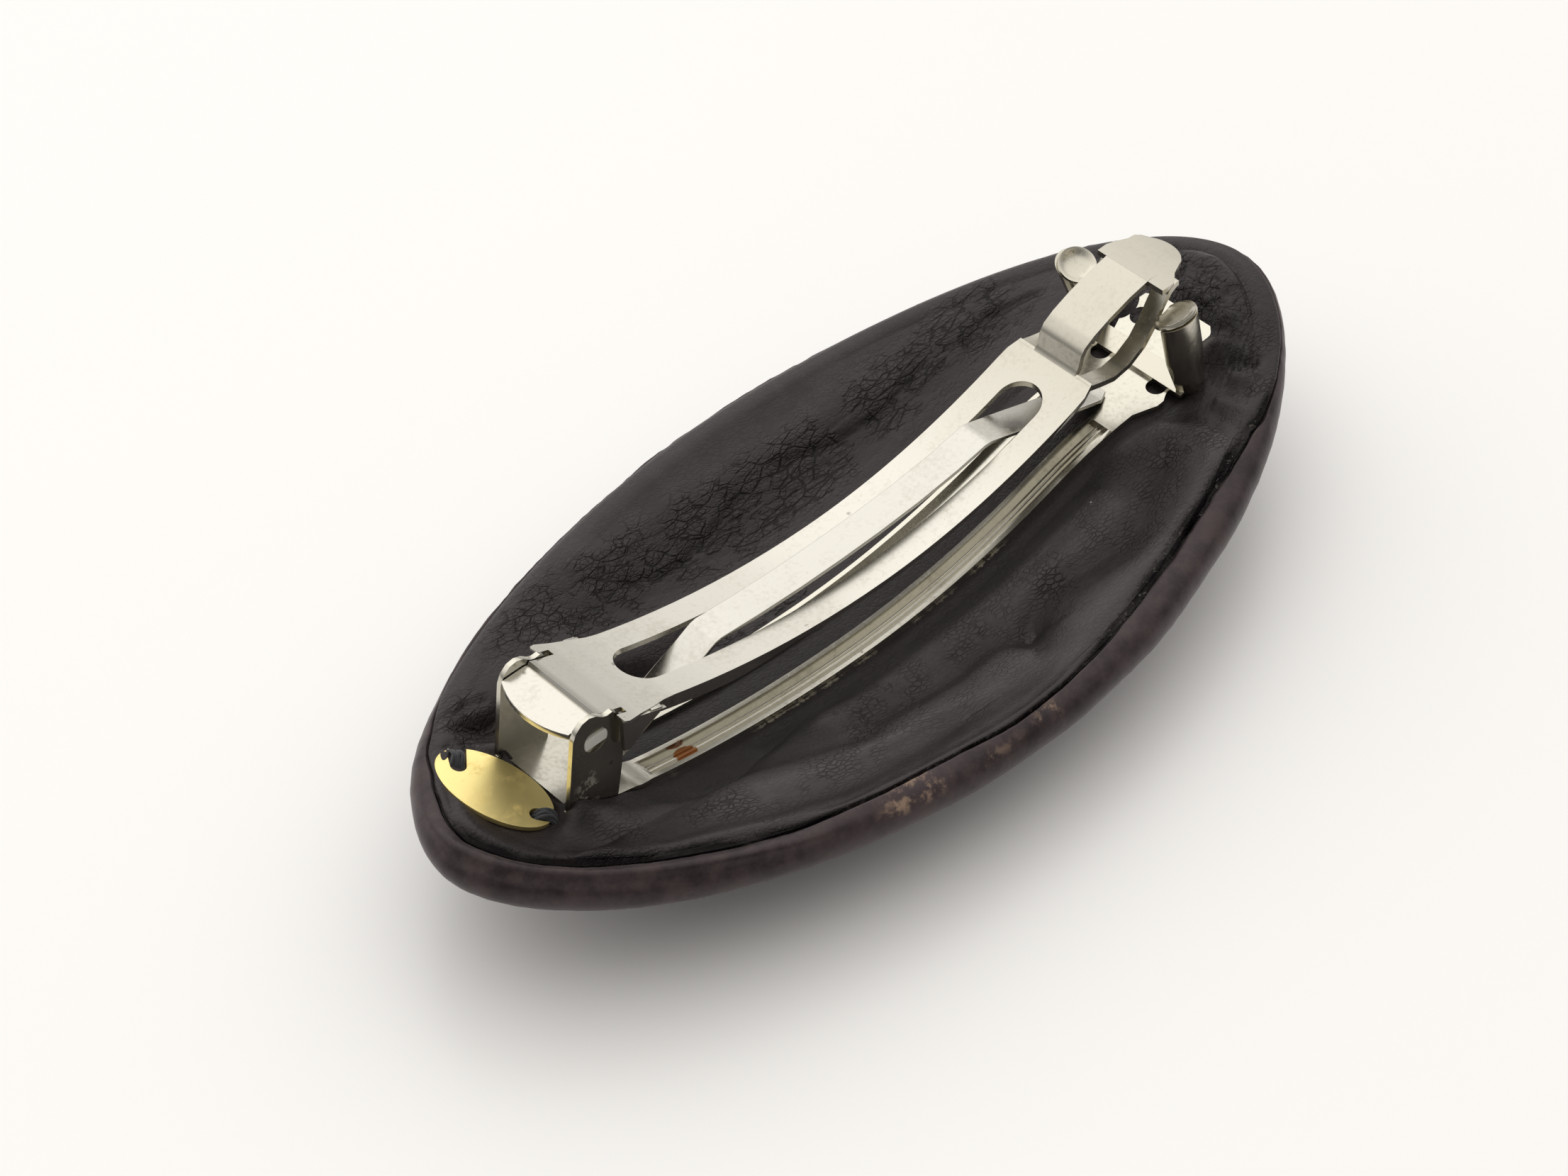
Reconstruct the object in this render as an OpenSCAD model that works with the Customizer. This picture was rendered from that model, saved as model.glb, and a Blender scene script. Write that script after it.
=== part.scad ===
// Oval padded leather barrette with a sprung steel hair clip on its back.
// Millimetres, +Z up. It lies on its leather face with the clip on top.
// The origin is on the rest plane under the middle of the oval, and X runs
// along the clip from the hinge toward the catch.

/* [Leather oval] */
// Half length of the rim line, mm
rim_half_len = 51.8; // [30:0.1:70]
// Half width of the rim line, mm
rim_half_wid = 23.2; // [12:0.1:40]
// Roundness power of the oval, 2 is a true ellipse
rim_power = 1.81; // [1.5:0.01:3]
// Radius of the rolled leather edge, mm
bead_r = 2.3; // [1.5:0.1:5]
// Where the back leather ends on the rolled edge, degrees up from its side
seam_angle = 68; // [45:1:85]
// Height of the rolled edge's middle above the rest plane, mm
rim_z = 9.7; // [6:0.1:16]
// Bow of the rim toward the hinge end, mm per mm squared
rim_bow_hinge = 0.0014; // [0:0.0001:0.004]
// Bow of the rim toward the catch end, mm per mm squared
rim_bow_catch = 0.0017; // [0:0.0001:0.004]
// Turn of the oval under the clip, degrees
oval_turn = 2.8; // [0:0.1:8]
// Share of the underside that is pressed flat where it rests
rest_share = 0.3; // [0.15:0.01:0.45]
// Slope where the underside runs into the rolled edge, degrees
edge_slope = 35; // [20:1:50]
// Thickness of the back leather with its backing, mm
panel_t = 1.5; // [1:0.1:3]
// Gap between the back leather and the body, mm
leather_gap = 0.06; // [0.02:0.01:0.2]
// Half width of the level band of back leather under the clip, mm
level_half = 6.0; // [5:0.1:9]
// How fast the back leather climbs to the rim
dish_power = 1.4; // [1:0.05:2.5]

/* [Base strip] */
// Sheet thickness of the base strip, mm
base_t = 0.5; // [0.4:0.05:0.8]
// Height of the base strip's lowest point, mm
base_z = 6.3; // [5:0.1:9]
// Place of the base strip's lowest point along X, mm
base_x = -5; // [-15:0.5:10]
// Bow radius of the base toward the hinge, mm
base_bow_hinge = 110; // [60:1:200]
// Bow radius of the base toward the catch, mm
base_bow_catch = 70; // [40:1:150]
// Hinge end of the base strip along X, mm
base_x0 = -42; // [-50:0.1:-36]
// Catch end of the base strip along X, mm
base_x1 = 43.2; // [38:0.1:48]
// Inner half width between the two rails, mm
rail_in = 1.5; // [0.8:0.1:2.5]
// Outer half width of the two rails, mm
rail_out = 4.45; // [3.5:0.05:6]
// Depth of the trough in each rail, mm
trough_d = 0.9; // [0.4:0.05:1.4]
// Rise of the hinge floor over the line of the two rails, mm
hinge_rise = 0.6; // [0:0.1:1.5]
// Outer half width of the hinge ears, mm
ear_out = 4.9; // [4.2:0.05:6]
// Diameter of the holes in the hinge ears, mm
ear_hole_d = 2.66; // [1.5:0.02:3.2]

/* [Arm] */
// Sheet thickness of the arm, mm
arm_t = 0.6; // [0.4:0.05:1]
// Height of the arm's lowest point, mm
arm_z = 14.9; // [12:0.1:18]
// Place of the arm's lowest point along X, mm
arm_x = -4; // [-15:0.5:10]
// Bow radius of the arm toward the hinge, mm
arm_bow_hinge = 78; // [50:1:200]
// Bow radius of the arm toward the catch, mm
arm_bow_catch = 62; // [40:1:150]
// Half width of the arm, mm
arm_half = 5.0; // [4:0.05:6]
// Half width of the arm's long slot, mm
slot_half = 2.35; // [1.8:0.05:3]
// Hinge line along X, mm
hinge_x = -38.5; // [-42:0.1:-36]
// Hinge line height, mm
hinge_z = 20.0; // [17:0.1:22]
// Width of the pivot lugs, whose ends are round, mm
lug_d = 2.56; // [1.4:0.02:3.1]
// Thickness of the pivot lugs, mm
lug_t = 1.1; // [0.6:0.1:2.4]

/* [Spring bar] */
// Half width of the spring bar, mm
bar_half = 1.7; // [1.2:0.05:2.2]
// Thickness of the spring bar, mm
bar_t = 0.45; // [0.3:0.05:0.8]

/* [Catch spring] */
// Place of the catch spring's strip along X, mm
catch_x = 36.3; // [34:0.1:39]
// Width of the catch spring's strip, mm
catch_w = 2.5; // [1.5:0.1:3.5]
// Sheet thickness of the catch spring, mm
catch_t = 0.45; // [0.3:0.05:0.8]

/* [Small plate] */
// Length of the small plate, mm
plate_len = 11.8; // [8:0.1:18]
// Width of the small plate, mm
plate_wid = 7.0; // [4:0.1:9]
// Thickness of the small plate, mm
plate_t = 0.45; // [0.3:0.05:1]
// Slope of the small plate toward the end of the oval, degrees
plate_tilt = 14; // [0:1:30]
// Slope of the small plate toward the far side, degrees
plate_roll = 4.5; // [0:0.5:10]

/* [Hidden] */
turn_n = 72;
near_zero = 0.0001;
plenty = 60;
arm_sections = 20;

// Side profiles, each the height of a sheet's upper face along X
function base_top(x) =
    x < base_x ? base_z + pow(x - base_x, 2) / (2 * base_bow_hinge)
        + hinge_rise * smooth((-31.5 - x) / 3)
    : x < 20 ? base_z + pow(x - base_x, 2) / (2 * base_bow_catch)
    : x < 30 ? base_mid + base_s1 * (x - 20) - (base_s1 - base_s2) * pow(x - 20, 2) / 20
    : x < 35 ? base_mid + 5 * (base_s1 + base_s2) + base_s2 * (x - 30)
    : base_mid + 5 * (base_s1 + base_s2) + base_s2 * (x - 30) + 0.02 * pow(x - 35, 2);
base_mid = base_z + pow(20 - base_x, 2) / (2 * base_bow_catch);
base_s1 = (20 - base_x) / base_bow_catch;
base_s2 = 0.09;
function arm_top(x) =
    x < arm_x ? arm_z + pow(x - arm_x, 2) / (2 * arm_bow_hinge)
    : arm_z + pow(x - arm_x, 2) / (2 * arm_bow_catch);

function steps(a, b, n) = [for (i = [0:n]) a + (b - a) * i / n];
// A closed side outline between two heights over the given places along X
function band(xs, top, bottom) =
    concat([for (i = [0:len(xs) - 1]) [xs[i], top[i]]],
           [for (i = [len(xs) - 1:-1:0]) [xs[i], bottom[i]]]);

// A side outline swept across the clip from y0 to y1
module across(y0, y1) {
    translate([0, y1, 0]) rotate([90, 0, 0]) linear_extrude(y1 - y0) children();
}
// A plan outline swept upward through everything
module upward() {
    linear_extrude(plenty) children();
}
module both_sides() {
    children();
    mirror([0, 1, 0]) children();
}

// Points of the oval's rim line and its outward directions, before it is turned
function power(v, p) = sign(v) * pow(abs(v), p);
function rim_at(a) = [rim_half_len * power(cos(a), 2 / rim_power),
                      rim_half_wid * power(sin(a), 2 / rim_power)];
function unit(v) = v / norm(v);
function out_at(p) = unit([power(p[0] / rim_half_len, rim_power - 1) / rim_half_len,
                           power(p[1] / rim_half_wid, rim_power - 1) / rim_half_wid]);
function bead_z(p) = rim_z + (p[0] < 0 ? rim_bow_hinge : rim_bow_catch) * p[0] * p[0];
function turned(p) = [p[0] * cos(oval_turn) - p[1] * sin(oval_turn),
                      p[0] * sin(oval_turn) + p[1] * cos(oval_turn)];
function at(p, z) = [turned(p)[0], turned(p)[1], z];

// A point on the round of the rolled edge, at an angle up from its outer side
function on_bead(a, f, r) = let (p = rim_at(a))
    at(p + out_at(p) * r * cos(f), bead_z(p) + r * sin(f));
// The inner shoulder of the rolled edge, where the back leather starts its climb down
shoulder_angle = 116;
function shoulder(a) = let (p = rim_at(a)) p + out_at(p) * bead_r * cos(shoulder_angle);
function shoulder_z(a) = bead_z(rim_at(a)) + bead_r * sin(shoulder_angle);
// The level back leather follows the base strip, and swells up to a seat for the small plate
seat_x = -42.6;
seat_z = 12.95;
seat_wider = 3;
function smooth(s) = let (c = min(1, max(0, s))) c * c * (3 - 2 * c);
function under_base(x) = base_top(x) - base_t - leather_gap;
function seat_at(x, y) = seat_z + (seat_x - x) * tan(plate_tilt) + y * tan(plate_roll);
function level_z(x, y) = let (s = smooth((seat_x - x) / 1.4))
    (1 - s) * under_base(x) + s * seat_at(x, y);
// Height of the back leather at a share u of the way out to the shoulder
function level_band(x) = level_half + seat_wider * smooth((-36 - x) / 8);
function climb_from(q) = let (t = turned(q))
    min(0.94, level_band(t[0]) / max(abs(t[1]), near_zero));
function climb(q, u) = pow(max(0, (u - climb_from(q)) / (1 - climb_from(q))), dish_power);
function panel_z(a, u) = let (q = shoulder(a), t = turned(q) * u, level = level_z(t[0], t[1]))
    level + (shoulder_z(a) - level) * climb(q, u);

// Rings of points joined into one closed body, first and last ring are flat fans.
// From ring number crossed on, each square is split the other way.
function ring_faces(rings, n, crossed) = concat(
    [for (k = [0:rings - 2]) for (i = [0:n - 1]) let (j = (i + 1) % n)
        k < crossed ? [k * n + i, (k + 1) * n + j, k * n + j]
                    : [k * n + i, (k + 1) * n + i, k * n + j]],
    [for (k = [0:rings - 2]) for (i = [0:n - 1]) let (j = (i + 1) % n)
        k < crossed ? [k * n + i, (k + 1) * n + i, (k + 1) * n + j]
                    : [k * n + j, (k + 1) * n + i, (k + 1) * n + j]],
    [for (i = [0:n - 1]) [rings * n, i, (i + 1) % n]],
    [for (i = [0:n - 1]) [rings * n + 1, (rings - 1) * n + (i + 1) % n, (rings - 1) * n + i]]);
angles = [for (i = [0:turn_n - 1]) 360 * i / turn_n];

dome_shares = [rest_share * 0.6, rest_share, 0.42, 0.54, 0.66, 0.77, 0.87, 0.95];
bead_angles = [-edge_slope - 20, -40, -20, 0, 20, 36, 52, seam_angle - 2.5];
step_angles = [seam_angle - 2.5, 80, 90, 103, shoulder_angle];
panel_shares = [0.14, 0.28, 0.42, 0.55, 0.67, 0.77, 0.82, 0.845, 0.87, 0.91, 0.95, 0.98, 1];
under_r = bead_r - panel_t - leather_gap;
function edge_end(a) = let (p = rim_at(a))
    p + out_at(p) * bead_r * cos(bead_angles[0]);
function edge_z(a) = bead_z(rim_at(a)) + bead_r * sin(bead_angles[0]);
function dome_z(a, u) = edge_z(a) * pow(max(0, (u - rest_share) / (1 - rest_share)), 2);
body_rings = concat(
    [for (u = dome_shares) [for (a = angles) at(edge_end(a) * u, dome_z(a, u))]],
    [for (f = bead_angles) [for (a = angles) on_bead(a, f, bead_r)]],
    [for (f = step_angles) [for (a = angles) on_bead(a, f, under_r)]],
    [for (k = [len(panel_shares) - 1:-1:0]) let (u = panel_shares[k])
        [for (a = angles) at(shoulder(a) * u, panel_z(a, u) - panel_t - leather_gap)]]);

module leather_face() {
    pts = concat([for (r = body_rings) each r],
                 [[0, 0, 0], [0, 0, level_z(0, 0) - panel_t - leather_gap]]);
    color([0.12, 0.10, 0.11])
        polyhedron(points = pts, faces = ring_faces(
            len(body_rings), turn_n, len(dome_shares) + len(bead_angles)));
}

panel_rings = concat(
    [for (u = panel_shares) [for (a = angles) at(shoulder(a) * u, panel_z(a, u) - panel_t)]],
    [for (f = [shoulder_angle, 103, 90, 80, seam_angle])
        [for (a = angles) on_bead(a, f, bead_r - panel_t)]],
    [for (f = [seam_angle, 80, 90, 103]) [for (a = angles) on_bead(a, f, bead_r)]],
    [for (k = [len(panel_shares) - 1:-1:0]) let (u = panel_shares[k])
        [for (a = angles) at(shoulder(a) * u, panel_z(a, u))]]);

// Room for the two troughs, pressed into the back leather
rail_x0 = -32;
rail_x1 = 28;
trough_gap = 0.06;
module trough_room() {
    xs = steps(rail_x0 - trough_gap, rail_x1 + trough_gap, 30);
    both_sides() across(rail_in - trough_gap, rail_out + trough_gap)
        polygon(band(xs, [for (x = xs) base_top(x) + 3],
                     [for (x = xs) base_top(x) - trough_d - base_t - trough_gap]));
}

// Bed for the base strip and the ends of the catch spring, sunk a little into the leather
module base_bed() {
    for (bed = [[base_x0 - 0.15, base_x1 + 0.15, 5.65], [34.5, 39.5, 7.4]]) {
        xs = concat([bed[0]], [for (x = [ceil(bed[0]) + 0.5:1:bed[1] - 0.3]) x], [bed[1]]);
        across(-bed[2], bed[2])
            polygon(band(xs, [for (x = xs) base_top(x) + 6], [for (x = xs) under_base(x) - 0.05]));
    }
}

module back_panel() {
    pts = concat([for (r = panel_rings) each r],
                 [[0, 0, level_z(0, 0) - panel_t], [0, 0, level_z(0, 0)]]);
    color([0.16, 0.16, 0.17])
        difference() {
            polyhedron(points = pts, faces = ring_faces(
                len(panel_rings), turn_n, len(panel_rings)));
            trough_room();
            base_bed();
            on_seat(0) linear_extrude(4) oval_plan(0.12);
        }
}

// Plan outline of the base strip's two end plates
hole_places = [[34.7, 3.6], [40.4, 3.7]];
hole_r = 1;
module base_outline() {
    difference() {
        union() {
            polygon([[base_x0, -ear_out], [-33.6, -ear_out], [rail_x0, -rail_out],
                     [rail_x0, rail_out], [-33.6, ear_out], [base_x0, ear_out],
                     [base_x0, 4.3], [-41.3, 3.9], [-41.3, -3.9], [base_x0, -4.3]]);
            polygon([[rail_x1, -rail_out], [30.4, -rail_out], [31.9, -5], [32.9, -5.4],
                     [33.8, -5.4], [34.5, -5.0], [35.2, -4.75], [37.6, -4.6], [39.2, -5.2],
                     [41, -5.5], [42.6, -5], [base_x1, -3.6],
                     [base_x1, 3.6], [42.6, 5], [41, 5.5], [39.2, 5.2],
                     [37.6, 4.6], [35.2, 4.75], [34.5, 5.0], [33.8, 5.4], [32.9, 5.4],
                     [31.9, 5], [30.4, rail_out], [rail_x1, rail_out]]);
        }
        translate([-33.6, 0]) circle(r = rail_in, $fn = 40);
        translate([-33.6, -rail_in]) square([4, 2 * rail_in]);
        translate([rail_x1 - 0.2, 0]) circle(r = rail_in, $fn = 40);
        for (h = hole_places) for (side = [-1, 1])
            translate([h[0], h[1] * side]) circle(r = hole_r, $fn = 40);
    }
}
module sheet(xs, drop, t) {
    across(-plenty / 2, plenty / 2)
        polygon(band(xs, [for (x = xs) base_top(x) - drop],
                     [for (x = xs) base_top(x) - drop - t]));
}
// One rail is a trough with an outer wall, an inner wall and two low ribs
module rail() {
    xs = steps(rail_x0, rail_x1, 30);
    wall = 0.45;
    rib = 0.22;
    for (y = [rail_in, rail_out - wall]) across(y, y + wall)
        polygon(band(xs, [for (x = xs) base_top(x)],
                     [for (x = xs) base_top(x) - trough_d - base_t]));
    across(rail_in + wall / 2, rail_out - wall / 2)
        polygon(band(xs, [for (x = xs) base_top(x) - trough_d],
                     [for (x = xs) base_top(x) - trough_d - base_t]));
    for (y = [2.45, 2.95]) across(y, y + rib)
        polygon(band(xs, [for (x = xs) base_top(x) - trough_d + rib],
                     [for (x = xs) base_top(x) - trough_d - base_t / 2]));
    for (x = [rail_x0, rail_x1 - wall]) across(rail_in, rail_out)
        polygon([[x, base_top(x) - trough_d - base_t], [x + wall, base_top(x + wall) - trough_d - base_t],
                 [x + wall, base_top(x + wall)], [x, base_top(x)]]);
}
// Side outline of a hinge ear, its hole is cut later
module ear_outline() {
    polygon([[base_x0, base_top(base_x0) - base_t + 0.05], [-41, 21.4], [-40.62, 22.3],
             [-39.9, 22.95], [-39.1, 23.1], [-38.3, 22.8], [-37.6, 22.2], [-37.1, 22.0],
             [-36.5, 22.05], [-35.9, 21.5], [-35.3, 20.3], [-35.25, 19], [-35.7, 15],
             [-36.4, base_top(-36.4) - base_t + 0.05]]);
}
module base_plate() {
    ear_t = 0.5;
    color([0.74, 0.73, 0.70])
        difference() {
            union() {
                intersection() {
                    union() {
                        sheet(steps(base_x0, rail_x0, 14), 0, base_t);
                        sheet(steps(rail_x1, base_x1, 12), 0, base_t);
                    }
                    upward() base_outline();
                }
                both_sides() rail();
                both_sides() across(ear_out - ear_t, ear_out) ear_outline();
            }
            translate([hinge_x, 0, hinge_z]) rotate([90, 0, 0])
                cylinder(d = ear_hole_d, h = plenty, center = true, $fn = 48);
        }
}

// The catch spring is a strip across the base whose ends stand up as finger ears.
// Each ear is a half round that leans back and ends in a dished pad.
ear_x = 37.0;
ear_y = 5.5;
module finger_ear(lean, rise) {
    r_low = 1.5;
    r_mid = 1.85;
    pad_r = 1.95;
    translate([ear_x, -ear_y, base_top(ear_x) + 0.1]) rotate([4.5, -lean, 0]) {
        difference() {
            rotate([0, 0, 90]) rotate_extrude($fn = 48)
                polygon([[r_low, -0.2], [r_low + 0.1, 2], [r_mid, 6], [r_mid, 14],
                         [r_mid - catch_t, 14], [r_mid - catch_t, 6],
                         [r_low - catch_t + 0.1, 2], [r_low - catch_t, -0.2]]);
            translate([-plenty / 2, 0, -plenty / 2]) cube(plenty);
            translate([0, 0, rise]) rotate([-28, 10, 0])
                translate([-plenty / 2, -plenty / 2, 0.06]) cube(plenty);
        }
        translate([0, 0.05, rise]) rotate([-28, 10, 0]) difference() {
            rotate_extrude($fn = 64)
                polygon([[0, -0.3], [1.15, -0.22], [pad_r, 0.2], [pad_r - 0.06, 0.48],
                         [1.1, 0.06], [0, -0.02]]);
            translate([-plenty / 2, 1.6, -plenty / 2]) cube(plenty);
        }
    }
}
module catch_spring() {
    z = base_top(catch_x) + 0.04;
    slope = atan2(base_top(catch_x + 1) - base_top(catch_x - 1), 2);
    color([0.70, 0.69, 0.66]) {
        union() {
            translate([catch_x, 0, z]) rotate([0, -slope, 0])
                translate([-catch_w / 2, -ear_y - 0.9, 0]) cube([catch_w, 2 * ear_y + 1.8, catch_t]);
            finger_ear(19, 11.6);
            mirror([0, 1, 0]) finger_ear(21, 10.3);
        }
    }
}

// The spring bar bows through the arm's slot and both ends stand on the base
bar_line = [[-34.2, 11.28], [-33.2, 11.32], [-21.6, 17.25], [-20.9, 17.4],
            [-16, 17.05], [-11, 16.85], [-6, 16.85], [-1, 17.0], [4, 17.35],
            [9, 18.0], [12.7, 18.75], [13.6, 18.72], [18, 17.4], [24, 15.5],
            [29.2, 13.75], [30.6, 13.6]];
module spring_bar() {
    xs = [for (p = bar_line) p[0]];
    color([0.80, 0.79, 0.75])
        intersection() {
            across(-bar_half, bar_half)
                polygon(band(xs, [for (p = bar_line) p[1]], [for (p = bar_line) p[1] - bar_t]));
            upward() polygon([[-34.2, -1.3], [-32.8, -bar_half], [24, -bar_half], [29.4, -1.4],
                              [30.6, -0.8], [30.6, 0.8], [29.4, 1.4], [24, bar_half],
                              [-32.8, bar_half], [-34.2, 1.3]]);
        }
}

// Plan outline of the arm from the tongue to the foot of the bridge
crease_x = -37.6;
tongue_half = 4.3;
foot_x = 23.9;
module arm_outline() {
    difference() {
        union() {
            // the tongue with its bowed front edge
            intersection() {
                translate([crease_x - 5, -tongue_half]) square([6.4, 2 * tongue_half]);
                translate([-42.1 + 8.6, 0]) circle(r = 8.6, $fn = 72);
            }
            // the head with its two wings, notched so that it swings past the ears
            polygon([[-37.3, -tongue_half], [-35.05, -tongue_half], [-35.05, -5.06],
                     [-36.2, -5.06], [-36.2, -6.1],
                     [-35.7, -6.2], [-34.2, -5.8], [-32.6, -5.5], [-30.8, -5.1], [-29.5, -arm_half],
                     [foot_x, -arm_half], [foot_x, arm_half], [-29.5, arm_half],
                     [-30.8, 5.1], [-32.6, 5.5], [-34.2, 5.8], [-35.7, 6.2],
                     [-36.2, 6.1], [-36.2, 5.06], [-35.05, 5.06],
                     [-35.05, tongue_half], [-37.3, tongue_half]]);
        }
        // the long slot
        translate([-29, 0]) circle(r = slot_half, $fn = 60);
        translate([-29, -slot_half]) square([47.7, 2 * slot_half]);
        translate([18.7, 0]) circle(r = slot_half, $fn = 60);
    }
}
module arm_side(xs, top, t) {
    polygon(band(xs, top, [for (z = top) z - t]));
}
// Side line of the raised middle band and of the two outer bands at the catch end
bridge_line = [[23.6, 21.06], [24.05, 21.6], [24.3, 22.9], [24.8, 23.75], [26, 24.55],
               [28.1, 25.5], [30.8, 26.45], [33.4, 27.05], [35.2, 27.0]];
band_line = [[23.6, 21.06], [25.1, 20.6], [27.2, 20.1], [29.1, 20.45], [30.9, 21.6],
             [32.2, 23.3], [33.2, 25.1], [34.1, 26.4], [35.0, 26.95], [35.4, 26.99]];
bridge_half = 2.6;
band_in = 2.75;
band_out = 4.55;
module bent(line, t) {
    // each step is as thick as the sheet at right angles to the line
    n = len(line) - 1;
    polygon(concat(line, [for (i = [n:-1:0]) let (
        a = line[max(i - 1, 0)], b = line[min(i + 1, n)],
        d = unit(b - a)) line[i] + [d[1], -d[0]] * t]));
}
module thumb_tab() {
    intersection() {
        across(-plenty / 2, plenty / 2) polygon([[33.2, 27.02], [35, 27.02], [37.2, 26.85], [39.6, 26.4],
                                                [39.6, 25.8], [37.2, 26.25], [35, 26.42], [33.2, 26.42]]);
        upward() difference() {
            union() {
                polygon([[33.0, -4.5], [34.7, -4.5], [35.3, -4.1], [36.0, -3.5], [37.0, -3.05],
                         [38.0, -2.6], [38.7, -1.9], [38.7, 1.7], [38.2, 2.6], [37.6, 3.0],
                         [36.7, 3.0], [35.6, 3.4], [34.4, 3.75], [33.0, 3.7]]);
                translate([36.35, -0.1]) circle(r = 2.95, $fn = 60);
            }
        }
    }
}
// Down-turned wing under the head and the low lip that fades out along the rail
module wing_flange() {
    across(5.3, 5.8)
        polygon([[-36.15, arm_top(-36.15) - 0.3], [-36.1, 17.5], [-35.4, 17.3],
                 [-33, 19.0], [-31.4, 19.4], [-31.2, arm_top(-31.2) - 0.3]]);
    xs = steps(-31.6, -15, 10);
    across(arm_half - 0.5, arm_half)
        polygon(band(xs, [for (x = xs) arm_top(x) - 0.2],
                     [for (x = xs) arm_top(x) - arm_t - 0.9 * min(1, (-14.5 - x) / 8)]));
    across(4.6, 5.75)
        polygon([[-31.6, arm_top(-31.6) - 0.1], [-32.8, arm_top(-32.8) - 0.1],
                 [-32.8, arm_top(-32.8) - arm_t], [-31.6, arm_top(-31.6) - arm_t]]);
}
// The web that carries the round pivot lug inside each ear
module lug() {
    web_in = 3.75;
    web_out = 4.3;
    across(web_in, web_out) difference() {
        union() {
            translate([hinge_x, hinge_z]) circle(r = 1.75, $fn = 48);
            translate([hinge_x - 1.75, hinge_z]) square([3.5, 1.75]);
        }
    }
    across(web_out - 0.1, ear_out + 0.05)
        translate([hinge_x, hinge_z]) intersection() {
            circle(d = lug_d, $fn = 48);
            translate([-2, -lug_t / 2]) square([4, lug_t]);
        }
}
module arm() {
    tongue_z = arm_top(crease_x) - 0.12;
    head_xs = concat([-42.2, crease_x - 0.75, crease_x - 0.45, crease_x - 0.2, crease_x + 0.1],
                     steps(crease_x + 0.6, arm_x, 14));
    tail_xs = steps(arm_x, foot_x, arm_sections);
    xs = concat(head_xs, [for (i = [1:len(tail_xs) - 1]) tail_xs[i]]);
    color([0.82, 0.81, 0.77])
        union() {
            intersection() {
                across(-plenty / 2, plenty / 2)
                    arm_side(xs, [for (x = xs) x < crease_x - 0.5 ? tongue_z
                                  : x < crease_x - 0.3 ? tongue_z - 0.1
                                  : x < crease_x ? arm_top(x) + 0.05 : arm_top(x)], arm_t);
                upward() arm_outline();
            }
            across(-bridge_half, bridge_half) bent(bridge_line, arm_t);
            both_sides() across(band_in, band_out) bent(band_line, arm_t);
            thumb_tab();
            both_sides() wing_flange();
            both_sides() lug();
        }
}

// The small plate is an oval with a round notch near each end for the thread
plate_x = -45.2;
plate_y = 1.2;
plate_turn = 13.7;
plate_lift = 0.06;
notches = [[-0.05, 3.85, 42], [0.05, -4.6, -52]];
notch_r = 0.74;
// Places its children on the seat, raised by lift at right angles to it
module on_seat(lift) {
    translate([plate_x, plate_y, seat_at(plate_x, plate_y)])
        rotate([plate_roll, plate_tilt, 0]) translate([0, 0, lift]) rotate([0, 0, plate_turn]) children();
}
module oval_plan(wider) {
    polygon([for (a = [0:5:355])
        [(plate_wid / 2 + wider) * cos(a), (plate_len / 2 + wider) * sin(a)]]);
}
module name_plate() {
    color([0.92, 0.80, 0.42])
        on_seat(plate_lift) linear_extrude(plate_t) difference() {
            oval_plan(0);
            for (n = notches) translate([n[0], n[1]]) {
                circle(r = notch_r, $fn = 40);
                rotate([0, 0, n[2]])
                    polygon([[0, -notch_r], [3, -notch_r - 0.25], [3, notch_r + 0.25], [0, notch_r]]);
            }
        }
}

leather_face();
back_panel();
base_plate();
catch_spring();
spring_bar();
arm();
name_plate();
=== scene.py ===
"""Dresses the padded leather barrette: worn leather, nickel clip and small gold plate."""

import bisect
import logging
import math
from dataclasses import dataclass, field
from enum import Enum
from functools import cached_property
from typing import Callable, Optional, Union

import bmesh
import bpy
from mathutils import Matrix, Vector, noise


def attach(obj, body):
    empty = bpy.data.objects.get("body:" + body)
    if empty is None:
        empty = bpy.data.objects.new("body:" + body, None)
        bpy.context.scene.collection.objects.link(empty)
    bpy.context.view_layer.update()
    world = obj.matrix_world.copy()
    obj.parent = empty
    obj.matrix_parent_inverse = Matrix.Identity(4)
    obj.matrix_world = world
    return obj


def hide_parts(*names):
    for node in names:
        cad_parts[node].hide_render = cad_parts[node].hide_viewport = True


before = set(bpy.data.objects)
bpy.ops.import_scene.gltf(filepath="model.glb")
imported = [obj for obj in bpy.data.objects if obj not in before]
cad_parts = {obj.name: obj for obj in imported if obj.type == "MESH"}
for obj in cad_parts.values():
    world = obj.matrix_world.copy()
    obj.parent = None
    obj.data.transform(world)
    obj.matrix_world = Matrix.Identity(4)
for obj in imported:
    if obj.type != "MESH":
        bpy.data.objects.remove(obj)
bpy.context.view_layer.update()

LOG = logging.getLogger("barrette")
MM = 0.001
BODY = "barrette"
ARM_BODY = "clip_arm"

Operand = Union["Socket", int, float]
Colour = tuple[float, float, float]
Place = tuple[float, float, float]
Station = tuple[str, float, float]


def smooth(value: float, low: float = 0.0, high: float = 1.0) -> float:
    """Rises softly from 0 to 1.

    Args:
        value: the number to ease.
        low: where the rise starts.
        high: where the rise ends.

    Returns:
        A number from 0 to 1.
    """
    share = min(1.0, max(0.0, (value - low) / (high - low)))
    return share * share * (3 - 2 * share)


def bell(value: float, centre: float, width: float) -> float:
    """Is 1 at the centre and falls off to 0 on both sides."""
    return math.exp(-(((value - centre) / width) ** 2))


def signed_power(value: float, power: float) -> float:
    """Raises a number to a power and keeps its sign."""
    return math.copysign(abs(value) ** power, value)


def uneven(x: float, y: float, seed: float) -> float:
    """Smooth unevenness that rises and falls about once a unit."""
    return noise.noise(Vector((x, y, seed)))


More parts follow.
